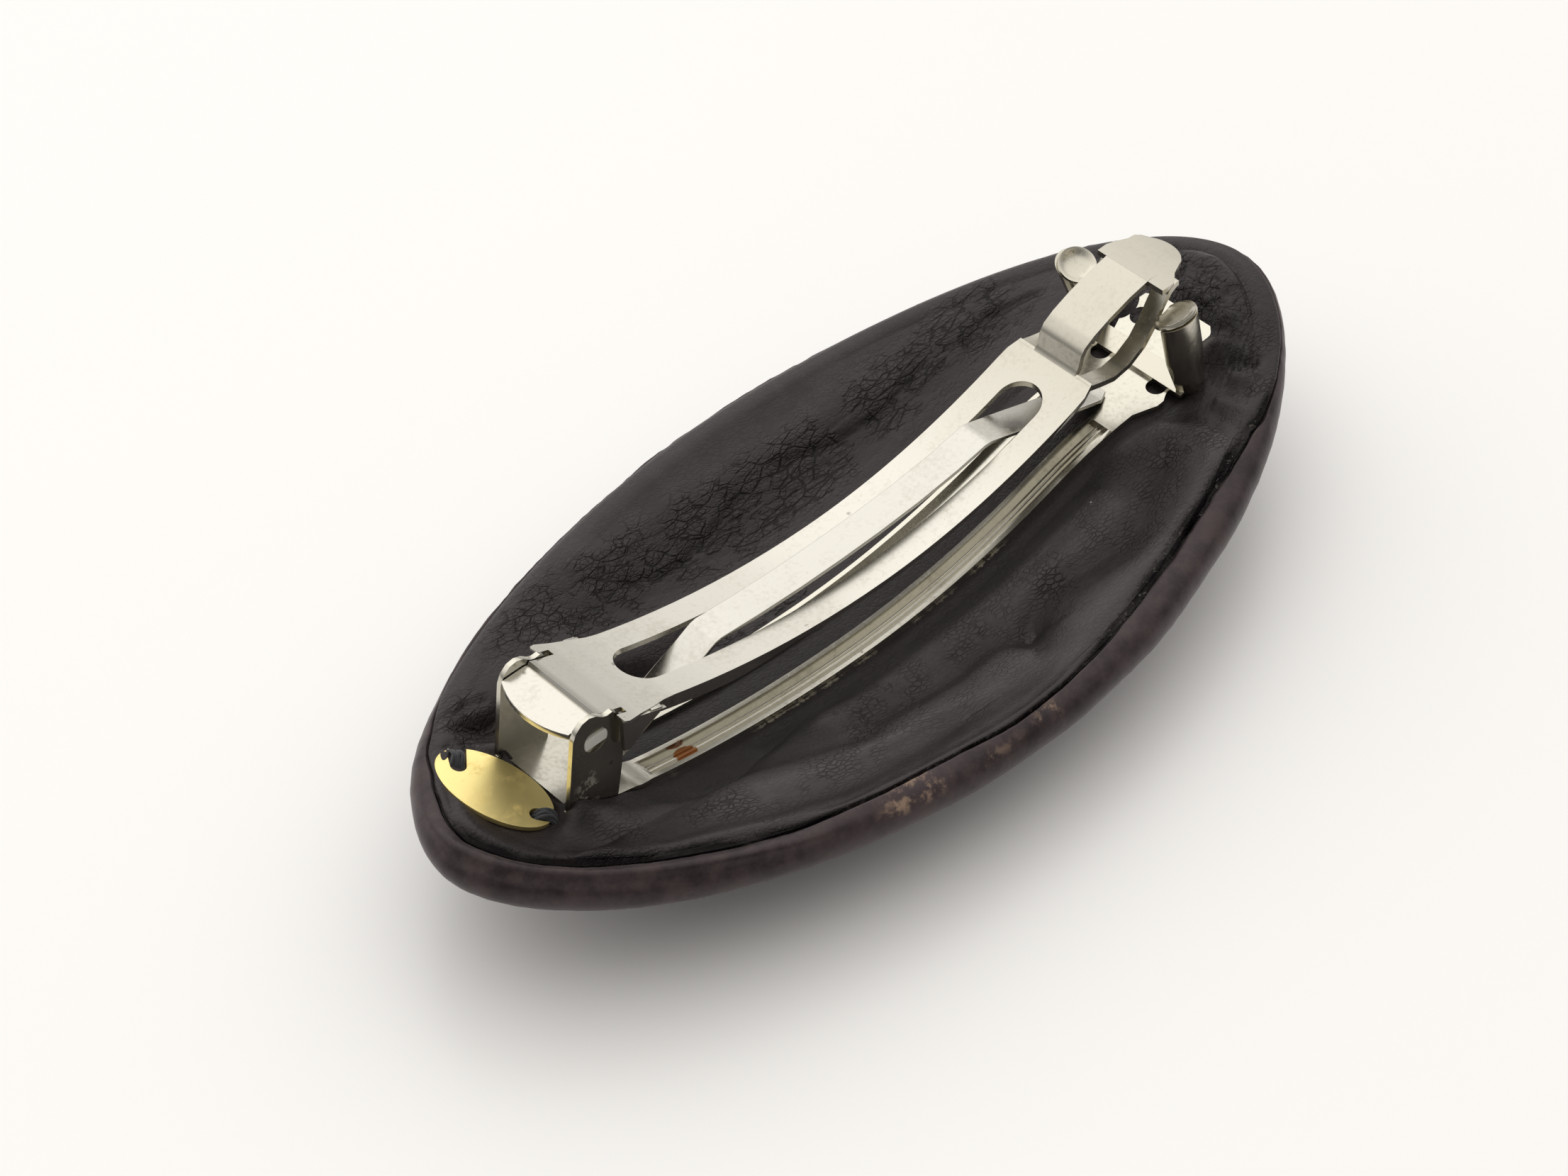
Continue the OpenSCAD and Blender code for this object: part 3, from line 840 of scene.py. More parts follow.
    def toward(self, heading: float) -> Vector:
        """The shoulder's point in a direction from the middle.

        Args:
            heading: direction in radians from 0 to a full turn, before the oval's turn.

        Returns:
            The shoulder's point there.
        """
        headings, points = self.shoulder_table
        right = min(max(bisect.bisect_left(headings, heading), 1), len(headings) - 1)
        gap = headings[right] - headings[right - 1]
        share = (heading - headings[right - 1]) / gap if gap > 1e-9 else 0.0
        return points[right - 1].lerp(points[right], share)

    def dish_height(self, x: float, y: float) -> float:
        """Height of the smooth dish of back leather.

        Args:
            x, y: place along and across the clip in millimetres.

        Returns:
            The height in millimetres, before any crease.
        """
        plain_x, plain_y = rotated(x, y, -self.turn)
        edge = self.toward(math.atan2(plain_y, plain_x) % math.tau)
        share = min(1.0, math.hypot(plain_x, plain_y) / math.hypot(edge.x, edge.y))
        rim = self.turned(edge.xy, 0)
        band = self.level_half + 3 * smooth((-36 - rim.x) / 8)
        start = min(0.94, band / max(abs(rim.y), 1e-4))
        climb = max(0.0, (share - start) / (1 - start)) ** self.dish
        level = self.level(x, y)
        return level + (edge.z - level) * climb

    def seam_at(self, angle: float) -> float:
        """Where the seam lies across the rolled edge.

        Args:
            angle: direction round the oval in radians.

        Returns:
            Degrees up from the edge's outer side.
        """
        turn = math.degrees(angle) % 360
        right = min(bisect.bisect_right(SEAM_LINE, (turn, 1000)), len(SEAM_LINE) - 1)
        low, first = SEAM_LINE[right - 1]
        high, second = SEAM_LINE[right]
        return first + (second - first) * smooth(turn, low, high) + 2.6 * uneven_round(angle, 9, 6, 3)

    def lifted(self, angle: float, lift: float) -> float:
        """Shifts a place across the rolled edge so that seam_angle falls on the seam's own line.

        Args:
            angle: direction round the oval in radians.
            lift: degrees up from the edge's outer side, before the shift.

        Returns:
            The same after the shift.
        """
        seam, top = self.seam_at(angle), self.shoulder_angle
        if lift < self.seam_angle:
            return lift + (seam - self.seam_angle) * smooth(lift, 10, self.seam_angle)
        return top - (top - lift) * (top - seam) / (top - self.seam_angle)

    def inland(self, angle: float, lift: float) -> float:
        """Distance of a shifted place from the seam in millimetres, positive on the back leather."""
        return math.radians(self.lifted(angle, lift) - self.seam_at(angle)) * self.bead

    def fray_and_groove_shade(self, angle: float, inland: float) -> float:
        """How dark the leather is beside the seam: torn near the catch, and painted shade in the deep
        groove.

        Args:
            angle: direction round the oval in radians.
            inland: distance from the seam in millimetres, positive on the back leather.

        Returns:
            1 in the worst places of the seam and 0 away from it.
        """
        near = smooth(-math.sin(angle), -0.5, 0.1)
        groove = self.groove(angle)
        ragged = near * self.ragged(angle)
        patch = 0.75 + 0.5 * uneven_round(angle, 11, 9, 21)
        wide = 0.16 + 0.60 * groove + 0.46 * ragged
        centre = 0.04 + 0.20 * groove + 0.42 * ragged
        strength = near * (0.40 + 0.75 * groove + 0.6 * ragged)
        return min(1.0, strength * patch * bell(inland, centre, wide))

    @staticmethod
    def groove(angle: float) -> float:
        """How much the seam is a deep groove there, as it is round the near side of the hinge end."""
        return smooth(-math.cos(angle), 0.45, 0.75) * smooth(-math.sin(angle), -0.35, 0.05)

    @staticmethod
    def ragged(angle: float) -> float:
        """How much the back leather is torn along the seam, as it is near the catch."""
        return smooth(math.cos(angle), -0.02, 0.30) * (1 - smooth(math.cos(angle), 0.70, 0.86))


@dataclass
class LeatherFace:
    """The padded oval with its domed face and rolled edge."""

    form: OvalForm = field(default_factory=OvalForm)
    around: int = 420
    rest_share: float = 0.3
    low_lift: float = -55.0
    wall: float = 1.56

    def _path(self) -> list[Station]:
        """Stations from the middle of the underside round the edge to under the back leather.

        Returns:
            For each ring its stretch, its place along that stretch and how far it is drawn in.
        """
        rest = self.rest_share
        dome = [0.0, 0.08, 0.16, 0.24, rest] + [rest + (1 - rest) * i / 26 for i in range(1, 26)]
        bead = [self.low_lift + 118.5 * i / 34 for i in range(35)]
        turned_in = [(65.0, 0.12), (66.3, 0.34), (67.2, 0.7), (67.6, 1.1)]
        turned_in += [(lift, self.wall) for lift in (70.0, 80.0, 90.0, 103.0, 116.0)]
        path = [("dome", share, 0.0) for share in dome]
        path += [("bead", lift, 0.0) for lift in bead]
        path += [("bead", lift, inset) for lift, inset in turned_in]
        path += [("under", share, 0.0) for share in (0.97, 0.9, 0.8, 0.65, 0.45, 0.2, 0.0)]
        return path

    def _place(self, turn: float, kind: str, value: float, inset: float) -> Vector:
        """Gives a point of the body.

        Args:
            turn: direction round the oval, from 0 to 1.
            kind: the stretch of the path: dome, bead or under.
            value: place along the stretch, a share of the oval or degrees round the edge.
            inset: how far the point is drawn in, in millimetres.

        Returns:
            The point in millimetres.
        """
        form, angle = self.form, turn * math.tau
        if kind == "dome":
            edge = form.on_bead(angle, self.low_lift, form.bead)
            rise = max(0.0, (value - self.rest_share) / (1 - self.rest_share)) ** 2
            spot = Vector((edge.x * value, edge.y * value, edge.z * rise))
            return spot + Vector((0, 0, 0.25 * smooth(rise, 0.02, 0.3) * noise.noise(spot * 0.16)))
        if kind == "bead":
            lift = form.lifted(angle, value)
            spot = form.on_bead(angle, lift, form.bead)
            outward = (spot - form.on_bead(angle, lift, 0)).normalized()
            swell = self._swell(spot, angle, value) * (1 - smooth(inset, 0.2, 1.0))
            return spot + outward * (swell - inset)
        plan = form.turned(form.shoulder(angle).xy * value, 0)
        plan.z = form.dish_height(plan.x, plan.y) - self.wall
        return plan

    def _swell(self, spot: Vector, angle: float, lift: float) -> float:
        """Unevenness of the leather where it rolls over the edge.

        Args:
            spot: the smooth edge's point in millimetres.
            angle: direction round the oval in radians.
            lift: degrees round the edge, before the shift to the seam.

        Returns:
            How far the leather stands proud in millimetres.
        """
        gathers = noise.noise(Vector((spot.x * 0.9, spot.y * 0.9, spot.z * 0.12)))
        slow = noise.noise(spot * 0.12 + Vector((7, 3, 1)))
        inland = self.form.inland(angle, lift)
        torn = self.form.ragged(angle) * smooth(-math.sin(angle), -0.3, 0.3) * noise.noise(spot * 2.3)
        groove = self.form.groove(angle)
        height = 0.05 * gathers * (1 + smooth(lift, 25, 60)) + 0.20 * slow * smooth(lift, -50, -20)
        height += 0.13 * torn * bell(inland, -0.25, 0.25)
        height -= 0.50 * groove * bell(inland, -0.05, 0.55)
        height += 0.30 * groove * bell(inland, -1.30, 0.45)
        return height - 0.12 * groove * bell(inland, -2.3, 0.6)

    def _marked(self, turn: float, station: Station) -> Marked:
        """Gives a point of the body with its mark.

        Args:
            turn: direction round the oval, from 0 to 1.
            station: the ring's entry of the path.

        Returns:
            The marked point.
        """
        point = self._place(turn, *station)
        if station[0] != "bead":
            return Marked(point)
        angle = turn * math.tau
        return Marked(point, self.form.fray_and_groove_shade(angle, self.form.inland(angle, station[1])))

    def dress(self) -> list[bpy.types.Object]:
        """Builds the padded body and attaches it to the barrette's body.

        Returns:
            The padded body alone.
        """
        path = self._path()
        bm = bent_grid(self.around, len(path), lambda turn, ring: self._marked(turn, path[ring]))
        piece = new_object("padded_face", bm, FaceLeatherFinish().material())
        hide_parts("leather_face")
        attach(piece, BODY)
        return [piece]


@dataclass(frozen=True)
class Fold:
    """One soft crease or swell of the back leather along a line, in millimetres.

    lean makes one flank wider than the other and wander is how far its line strays.
    """

    points: tuple[tuple[float, float], ...]
    width: float
    height: float
    lean: float = 0.0
    wander: float = 0.5

    @cached_property
    def box(self) -> tuple[float, float, float, float]:
        """The part of the plan that the fold can reach."""
        reach = 3.0 * self.width * (1 + abs(self.lean)) + self.wander
        xs, ys = zip(*self.points)
        return min(xs) - reach, max(xs) + reach, min(ys) - reach, max(ys) + reach

    def at(self, x: float, y: float) -> float:
        """Height that the fold adds.

        Args:
            x, y: place along and across the clip in millimetres.

        Returns:
            The height in millimetres, below 0 for a crease.
        """
        left, right, low, high = self.box
        if not (left < x < right and low < y < high):
            return 0.0
        x += self.wander * uneven(x * 0.2, y * 0.2, 9 * self.width)
        y += self.wander * uneven(x * 0.2, y * 0.2, 9 * self.width + 40)
        gap, side = 1e9, 1.0
        for (ax, ay), (bx, by) in zip(self.points, self.points[1:]):
            dx, dy = bx - ax, by - ay
            share = min(1.0, max(0.0, ((x - ax) * dx + (y - ay) * dy) / (dx * dx + dy * dy)))
            away = math.hypot(x - ax - share * dx, y - ay - share * dy)
            if away < gap:
                gap, side = away, (y - ay) * dx - (x - ax) * dy
        width = self.width * (1 + math.copysign(self.lean, side))
        return self.height * bell(gap, 0, width)


NEAR_FOLDS = (
    Fold(((26.5, -11.5), (22, -14.0), (18, -14.6), (14.9, -13.6), (11, -12.8), (7.2, -13.3), (4.3, -16.3)),
         1.9, -0.95, 0.30),
    Fold(((29, -14.5), (21, -17.8), (13, -16.8), (5, -18.6)), 3.0, 0.70),
    Fold(((-11, -11.8), (-3.8, -12.8), (2.8, -12.4), (5.4, -14.6)), 2.0, -0.80, 0.3),
    Fold(((-14, -8.6), (-4, -9.4), (8, -9.4), (20, -9.8)), 2.6, 0.75),
    Fold(((-9, -15.6), (1, -16.4)), 2.8, 0.60),
    Fold(((22, -6.7), (9.7, -6.4), (0.6, -6.3), (-8.5, -6.2), (-20, -6.2)), 1.7, -0.55),
    Fold(((-38.9, -7.4), (-32.4, -9.2), (-25.4, -12.2), (-17.4, -14.7), (-13, -15.8)), 2.2, 0.75),
    Fold(((-36, -6.3), (-28, -7.6), (-21, -10.4), (-14, -12.6)), 1.6, -0.45),
    Fold(((-41, -11.1), (-33.6, -13.6), (-27.8, -16.3), (-19, -18.4), (-8, -19.2)), 2.0, -0.60, -0.3),
    Fold(((26.9, -6.0), (31.4, -8.4), (32.0, -12.7)), 1.8, 0.55),
    Fold(((32.5, -7.8), (35.5, -10.0), (35.5, -13.0)), 1.0, -0.40),
    Fold(((22, -19.5), (30, -16.8), (36, -13.4)), 1.3, 0.34),
)
FAR_FOLDS = (
    Fold(((-24, 13.6), (-10, 13.8), (4, 14.6), (16, 13.8), (31, 13.4)), 2.4, -0.50),
    Fold(((-20, 18.4), (0, 19.0), (16, 17.9)), 1.8, 0.32),
    Fold(((-24, 9.4), (-6, 9.2), (12, 9.6)), 1.6, 0.20),
    Fold(((-18, 15.2), (-13, 14.2), (-8, 15.0), (-1, 16.6)), 0.5, -0.28),
    Fold(((4, 16.9), (9, 15.4), (15.8, 14.6), (22, 15.2)), 0.5, -0.30),
    Fold(((27, 14.2), (31, 15.2), (36, 13.2)), 0.5, -0.35),
)
END_FOLDS = (
    Fold(((-44.6, 11.6), (-42, 10.4), (-38.6, 9.9)), 0.42, -0.34),
    Fold(((-45.4, 9.4), (-42.4, 8.6), (-39.6, 8.3)), 0.42, -0.36),
    Fold(((-45.8, 10.6), (-43.4, 9.6), (-40.8, 9.0)), 0.40, 0.22),
    Fold(((-46.0, 7.6), (-43.6, 7.0)), 0.42, -0.30),
    Fold(((-44.2, 12.8), (-41.6, 11.6)), 0.42, -0.26),
    Fold(((41.2, -7.8), (44.6, -10.4)), 0.50, -0.42),
    Fold(((40.0, -8.8), (43.6, -12.2)), 0.45, 0.32),
    Fold(((38.6, -9.4), (41.8, -13.6)), 0.50, -0.38),
    Fold(((36.6, -9.6), (38.4, -13.8)), 0.50, 0.25),
    Fold(((43.4, 2.0), (47.2, 4.6), (48.6, 7.0)), 0.50, -0.32),
    Fold(((43.2, 5.4), (45.6, 9.6)), 0.45, -0.30),
    Fold(((44.0, -1.6), (48.4, -1.8)), 0.45, -0.28),
)
FOLDS = NEAR_FOLDS + FAR_FOLDS + END_FOLDS

# Swells at the catch: height, then centre and reach along the clip and across it, in millimetres
CATCH_MOUNDS = (
    (2.9, 41.0, 1.95, -5.8, 1.85), (1.6, 40.4, 1.9, 6.2, 1.6),
    (1.0, 45.0, 1.0, 0.0, 4.5), (1.5, 44.0, 1.1, -3.9, 1.3),
)


@dataclass
class BackLeather:
    """The smooth leather that lines the back, dished under the clip and creased with use.

    Its rings run out from a long bed under the clip to the rolled edge, over it and back underneath.
    A trough takes each rail of the clip, and the small plate lies in a level patch.
    """

    form: OvalForm = field(default_factory=OvalForm)
    around: int = 520
    rings: int = 118
    sheet: float = 1.45
    bed_mid: float = 0.6
    bed_len: float = 43.0
    bed_half: float = 4.48
    bed_lines: tuple[float, ...] = (0.0, 0.65, 1.3, 1.6, 1.88, 3.0, 4.1, 4.37)
    trough: float = 0.95
    trough_x: tuple[float, float] = (-32.0, 28.0)
    trough_y: tuple[float, float] = (1.74, 4.24)
    plate_at: tuple[float, float] = (-45.2, 1.2)
    plate_half: tuple[float, float] = (3.5, 5.9)
    plate_turn: float = 13.7

    def _bed_edge(self, angle: float) -> Vector:
        """The long outline round the clip that the rings run out from.

        Args:
            angle: direction round the oval in radians.

        Returns:
            Its plan point there, in millimetres.
        """
        point, _ = self.form.rim(angle)
        side = max(-self.bed_half, min(self.bed_half, point.y))
        return Vector((self.bed_mid + self.bed_len * point.x / self.form.half_len, side))

    @staticmethod
    def _mounds(x: float, y: float) -> float:
        """Leather that swells up against the feet of the clip.

        Args:
            x, y: place along and across the clip in millimetres.

        Returns:
            The height that it adds in millimetres.
        """
        foot = 2.2 * bell(x, -41.9, 1.25)
        if x > -41.9:
            foot = (0.55 + 1.65 * smooth(-x, 36.6, 41.9)) * (1 - smooth(x, -36.2, -33.2))
        side = abs(y) - 4.95
        fade = bell(side, 0, 1.8) if side > 0 else bell(side, 0, 2.2) * smooth(-x, 40.2, 41.4)
        height = (1.0 if y < 0 else 0.62) * foot * fade
        for rise, at_x, reach_x, at_y, reach_y in CATCH_MOUNDS:
            height += rise * bell(x, at_x, reach_x) * bell(y, at_y, reach_y)
        return height

    @staticmethod
    def _creases(x: float, y: float) -> float:
        """Creases, cracks and dents of the worn leather.

        Args:
            x, y: place along and across the clip in millimetres.

        Returns:
            The height that they add in millimetres.
        """
        height = sum(fold.at(x, y) for fold in FOLDS)
        band = bell(y, 15.0, 3.4) * smooth(x, -30, -20) * (1 - smooth(x, 30, 40))
        height -= band * (0.13 * ridge(x * 0.30, y * 0.85, 2.0) + 0.05 * ridge(x * 0.8, y * 1.9, 5.0))
        height -= bell(x, 44, 4.5) * bell(y, 0, 13) * 0.26 * ridge(x * 0.8, y * 0.75, 3.0)
        pucker = bell(x, 41, 3.5) * bell(y, -9, 3.0)
        height -= pucker * 0.45 * ridge(x + y * 0.5, y * 0.4 - x * 0.2, 11.0)
        near = smooth(-y, 7, 12) * (1 - smooth(-y, 19, 23))
        height += near * 0.18 * uneven(x * 0.16 + y * 0.1, y * 0.34, 1.0)
        return height + 0.12 * uneven(x * 0.15, y * 0.2, 6.0) + 0.03 * uneven(x * 0.9, y * 0.9, 4.0)

    def _under_plate(self, x: float, y: float) -> float:
        """Is 1 where the small plate lies on the leather and 0 away from it."""
        across, along = rotated(x - self.plate_at[0], y - self.plate_at[1], -self.plate_turn)
        return 1 - smooth(math.hypot(across / self.plate_half[0], along / self.plate_half[1]), 1.03, 1.45)

    def _relief(self, x: float, y: float) -> float:
        """Height of the creases where the leather is free of the clip."""
        loose = max(smooth(abs(y), 4.9, 6.4), smooth(-x, 43.0, 44.2), smooth(x, 43.6, 45.1))
        return loose * self._creases(x, y)

    def _height(self, x: float, y: float, relief: float) -> float:
        """Height of the leather's upper side.

        Args:
            x, y: place along and across the clip in millimetres.
            relief: height of the creases there.

        Returns:
            The height in millimetres.
        """
        held = self._under_plate(x, y)
        in_x = self.trough_x[0] < x < self.trough_x[1]
        in_y = self.trough_y[0] < abs(y) < self.trough_y[1]
        smooth_height = self.form.dish_height(x, y) - (self.trough if in_x and in_y else 0.0)
        return smooth_height + (1 - held) * (self._mounds(x, y) + relief) - 0.05 * held

    def _path(self) -> list[Station]:
        """Stations from the middle line of the bed out, round the edge and back underneath.

        Returns:
            For each ring its stretch, its place along that stretch and how far it is drawn in.
        """
        shoulder = self.form.shoulder_angle
        path = [("bed", line / self.bed_half, 0.0) for line in self.bed_lines]
        path += [("dish", i / self.rings, 0.0) for i in range(self.rings + 1)]
        path += [("over", shoulder - 46.5 * i / 20, 0.0) for i in range(1, 21)]
        path += [("over", 69.2, 0.16), ("over", 69.2, 0.42), ("over", 70.2, 0.7)]
        path += [("over", lift, self.sheet) for lift in (72.0, 84.0, 100.0, 116.0)]
        path += [("under", share, 0.0) for share in (0.97, 0.85, 0.65, 0.4, 0.15, 0.0)]
        return path + [("underbed", share, 0.0) for share in (0.5, 0.0)]

    def _place(self, turn: float, kind: str, value: float, inset: float) -> Marked:
        """Gives a point of the back leather.

        Args:
            turn: direction round the oval, from 0 to 1.
            kind: the stretch of the path: bed, dish, over, under or underbed.
            value: place along the stretch, a share of it or degrees round the edge.
            inset: how far the point is drawn in, in millimetres.

        Returns:
            The point with its marks.
        """
        form, angle = self.form, turn * math.tau
        if kind == "over":
            return self._over(angle, value, inset)
        bed = self._bed_edge(angle)
        edge = form.turned(form.shoulder(angle).xy, 0).xy
        plan = Vector((bed.x, bed.y * value)) if kind in ("bed", "underbed") else bed.lerp(edge, value)
        if kind in ("under", "underbed"):
            return Marked(Vector((plan.x, plan.y, form.dish_height(plan.x, plan.y) - self.sheet)))
        relief = self._relief(plan.x, plan.y)
        spot = Vector((plan.x, plan.y, self._height(plan.x, plan.y, relief)))
        if kind == "bed":
            return Marked(spot, 0.0, relief)
        inland = form.inland(angle, form.shoulder_angle) + (edge - plan).length
        spot.z += self._ripple(angle, inland)
        return Marked(spot, form.fray_and_groove_shade(angle, inland), relief)

    def _ripple(self, angle: float, inland: float) -> float:
        """Rolls and grooves of the back leather beside the seam.

        Args:
            angle: direction round the oval in radians.
            inland: distance from the seam in millimetres.

        Returns:
            The height that they add in millimetres.
        """
        if inland > 4.5:
            return 0.0
        wavy = 0.15 * uneven_round(angle, 15, 10, 0)
        strong = 0.8 + 0.4 * uneven_round(angle, 3, 3, 9)
        near = smooth(-math.sin(angle), -0.6, 0.2) * strong
        groove = self.form.groove(angle) * strong
        plain = max(0.0, near - groove)
        height = -0.66 * groove * bell(inland, 0.25, 0.80)
        height += 0.24 * groove * bell(inland, 1.9 + wavy, 0.80)
        height += 0.12 * plain * bell(inland, 0.55 + wavy, 0.30)
        height -= 0.10 * plain * bell(inland, 1.4 + 2 * wavy, 0.45)
        torn = 0.20 * uneven_round(angle, 90, 60, inland * 3.5) - 0.14
        return height + near * self.form.ragged(angle) * bell(inland, 0.5, 0.55) * torn

    def _over(self, angle: float, lift: float, inset: float) -> Marked:
        """Gives a point where the back leather runs over the rolled edge.

        Args:
            angle: direction round the oval in radians.
            lift: degrees round the edge, before the shift to the seam.
            inset: how far the point is drawn in, in millimetres.

        Returns:
            The point with its marks.
        """
        form = self.form
        place = form.lifted(angle, lift)
        inland = form.inland(angle, lift)
        plan = form.on_bead(angle, place, form.bead)
        relief = 0.85 * smooth(lift, 90, 116) * self._creases(plan.x, plan.y)
        ripple = self._ripple(angle, inland) + relief
        ripple -= 0.24 * (1 - smooth(inland, 0.04, 0.24)) * (1 - smooth(inset, 0, 0.5))
        keep = 1 - smooth(inset, 0.2, 1.0)
        point = form.on_bead(angle, place, form.bead - inset + ripple * keep)
        return Marked(point, form.fray_and_groove_shade(angle, inland), relief * keep)

    def dress(self) -> list[bpy.types.Object]:
        """Builds the back leather as one closed sheet and attaches it to the barrette's body.

        Returns:
            The back leather alone.
        """
        path = self._path()
        bm = bent_grid(self.around, len(path), lambda turn, ring: self._place(turn, *path[ring]))
        piece = new_object("back_leather", bm, BackLeatherFinish().material())
        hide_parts("back_panel")
        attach(piece, BODY)
        return [piece]


@dataclass(frozen=True)
class Notch:
    """One round notch of the small plate, in the plate's own plane."""

    name: str
    x: float
    y: float
    heading: float
    length: float


@dataclass
class PlateThread:
    """Bundles of black thread that tie the small plate down through its notches.

    seat and lean are the plate's place in millimetres and its turns in degrees.
    """

    notches: tuple[Notch, ...] = (
        Notch("thread_far", -0.05, 3.85, 42.0, 3.3),
        Notch("thread_near", 0.05, -4.6, -52.0, 2.7),
    )
    seat: Place = (-45.2, 1.2, 13.70)
    lean: Place = (4.5, 14.0, 13.7)
    strands: int = 8
    steps: int = 14
    radius: float = 0.17
    spread: float = 0.56

    def _frame(self) -> Matrix:
        """The plate's own frame, in millimetres."""
        roll, tilt, turn = (math.radians(angle) for angle in self.lean)
        leant = Matrix.Rotation(tilt, 4, "Y") @ Matrix.Rotation(roll, 4, "X")
        return Matrix.Translation(self.seat) @ leant @ Matrix.Rotation(turn, 4, "Z")

    def _strand(self, notch: Notch, index: int) -> list[Vector]:
        """Middle line of one strand: up through the notch, over the edge and into the leather.

        Args:
            notch: where the strand comes up.
            index: the strand's number in its bundle; every second one lies higher.

        Returns:
            The line's points in millimetres.
        """
        heading = math.radians(notch.heading)
        out = Vector((math.cos(heading), math.sin(heading), 0))
        side = Vector((-out.y, out.x, 0))
        layer = index % 2
        across = self.spread * (2 * index / (self.strands - 1) - 1)
        path = []
        for step in range(self.steps + 1):
            share = step / self.steps
            along = -0.45 + 0.25 * layer + (notch.length - 0.3 * layer) * share
            arch = math.sin(math.pi * min(1.0, share * 1.1 + 0.04)) ** 0.6 if share < 0.86 else 0.0
            height = -0.55 + (1.05 + 0.30 * layer) * arch
            weave = 0.13 * math.sin(6.5 * share + 2.1 * index) * (1 - 0.5 * share)
            spot = out * along + side * (across * (1 - 0.35 * share) + weave)
            path.append(self._frame() @ (Vector((notch.x, notch.y, height)) + spot))
        return path

    def dress(self) -> list[bpy.types.Object]:
        """Builds both bundles and attaches them to the barrette's body.

        Returns:
            The two bundles.
        """
        finish = ThreadFinish().material()
        pieces = []
        for notch in self.notches:
            bm = bmesh.new()
            for index in range(self.strands):
                tube(bm, self._strand(notch, index), self.radius)
            bmesh.ops.recalc_face_normals(bm, faces=bm.faces)
            piece = new_object(notch.name, bm, finish)
            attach(piece, BODY)
            pieces.append(piece)
        return pieces


class MetalPart(Enum):
    """The clip's sheet metal pieces, each with its node, body, bevel, slot and finish."""

    BASE = ("base_plate", BODY, 0.09, "steel",
            NickelFinish("nickel_base", (0.58, 0.555, 0.48), (0.33, 0.31, 0.25), brush=0.1, rust=True))
    CATCH = ("catch_spring", BODY, 0.08, "steel",
             NickelFinish("nickel_catch", (0.55, 0.52, 0.44), (0.30, 0.28, 0.21), 0.18, 0.3))
    BAR = ("spring_bar", BODY, 0.10, "steel",
           NickelFinish("nickel_bar", (0.55, 0.53, 0.48), (0.40, 0.37, 0.31), 0.18))
    ARM = ("arm", ARM_BODY, 0.09, "steel",
           NickelFinish("nickel_arm", (0.585, 0.563, 0.505), (0.40, 0.37, 0.30), lug_worn=0.85, catch_darkening=0.55))
    PLATE = ("name_plate", BODY, 0.12, "gold_plate", GoldFinish())


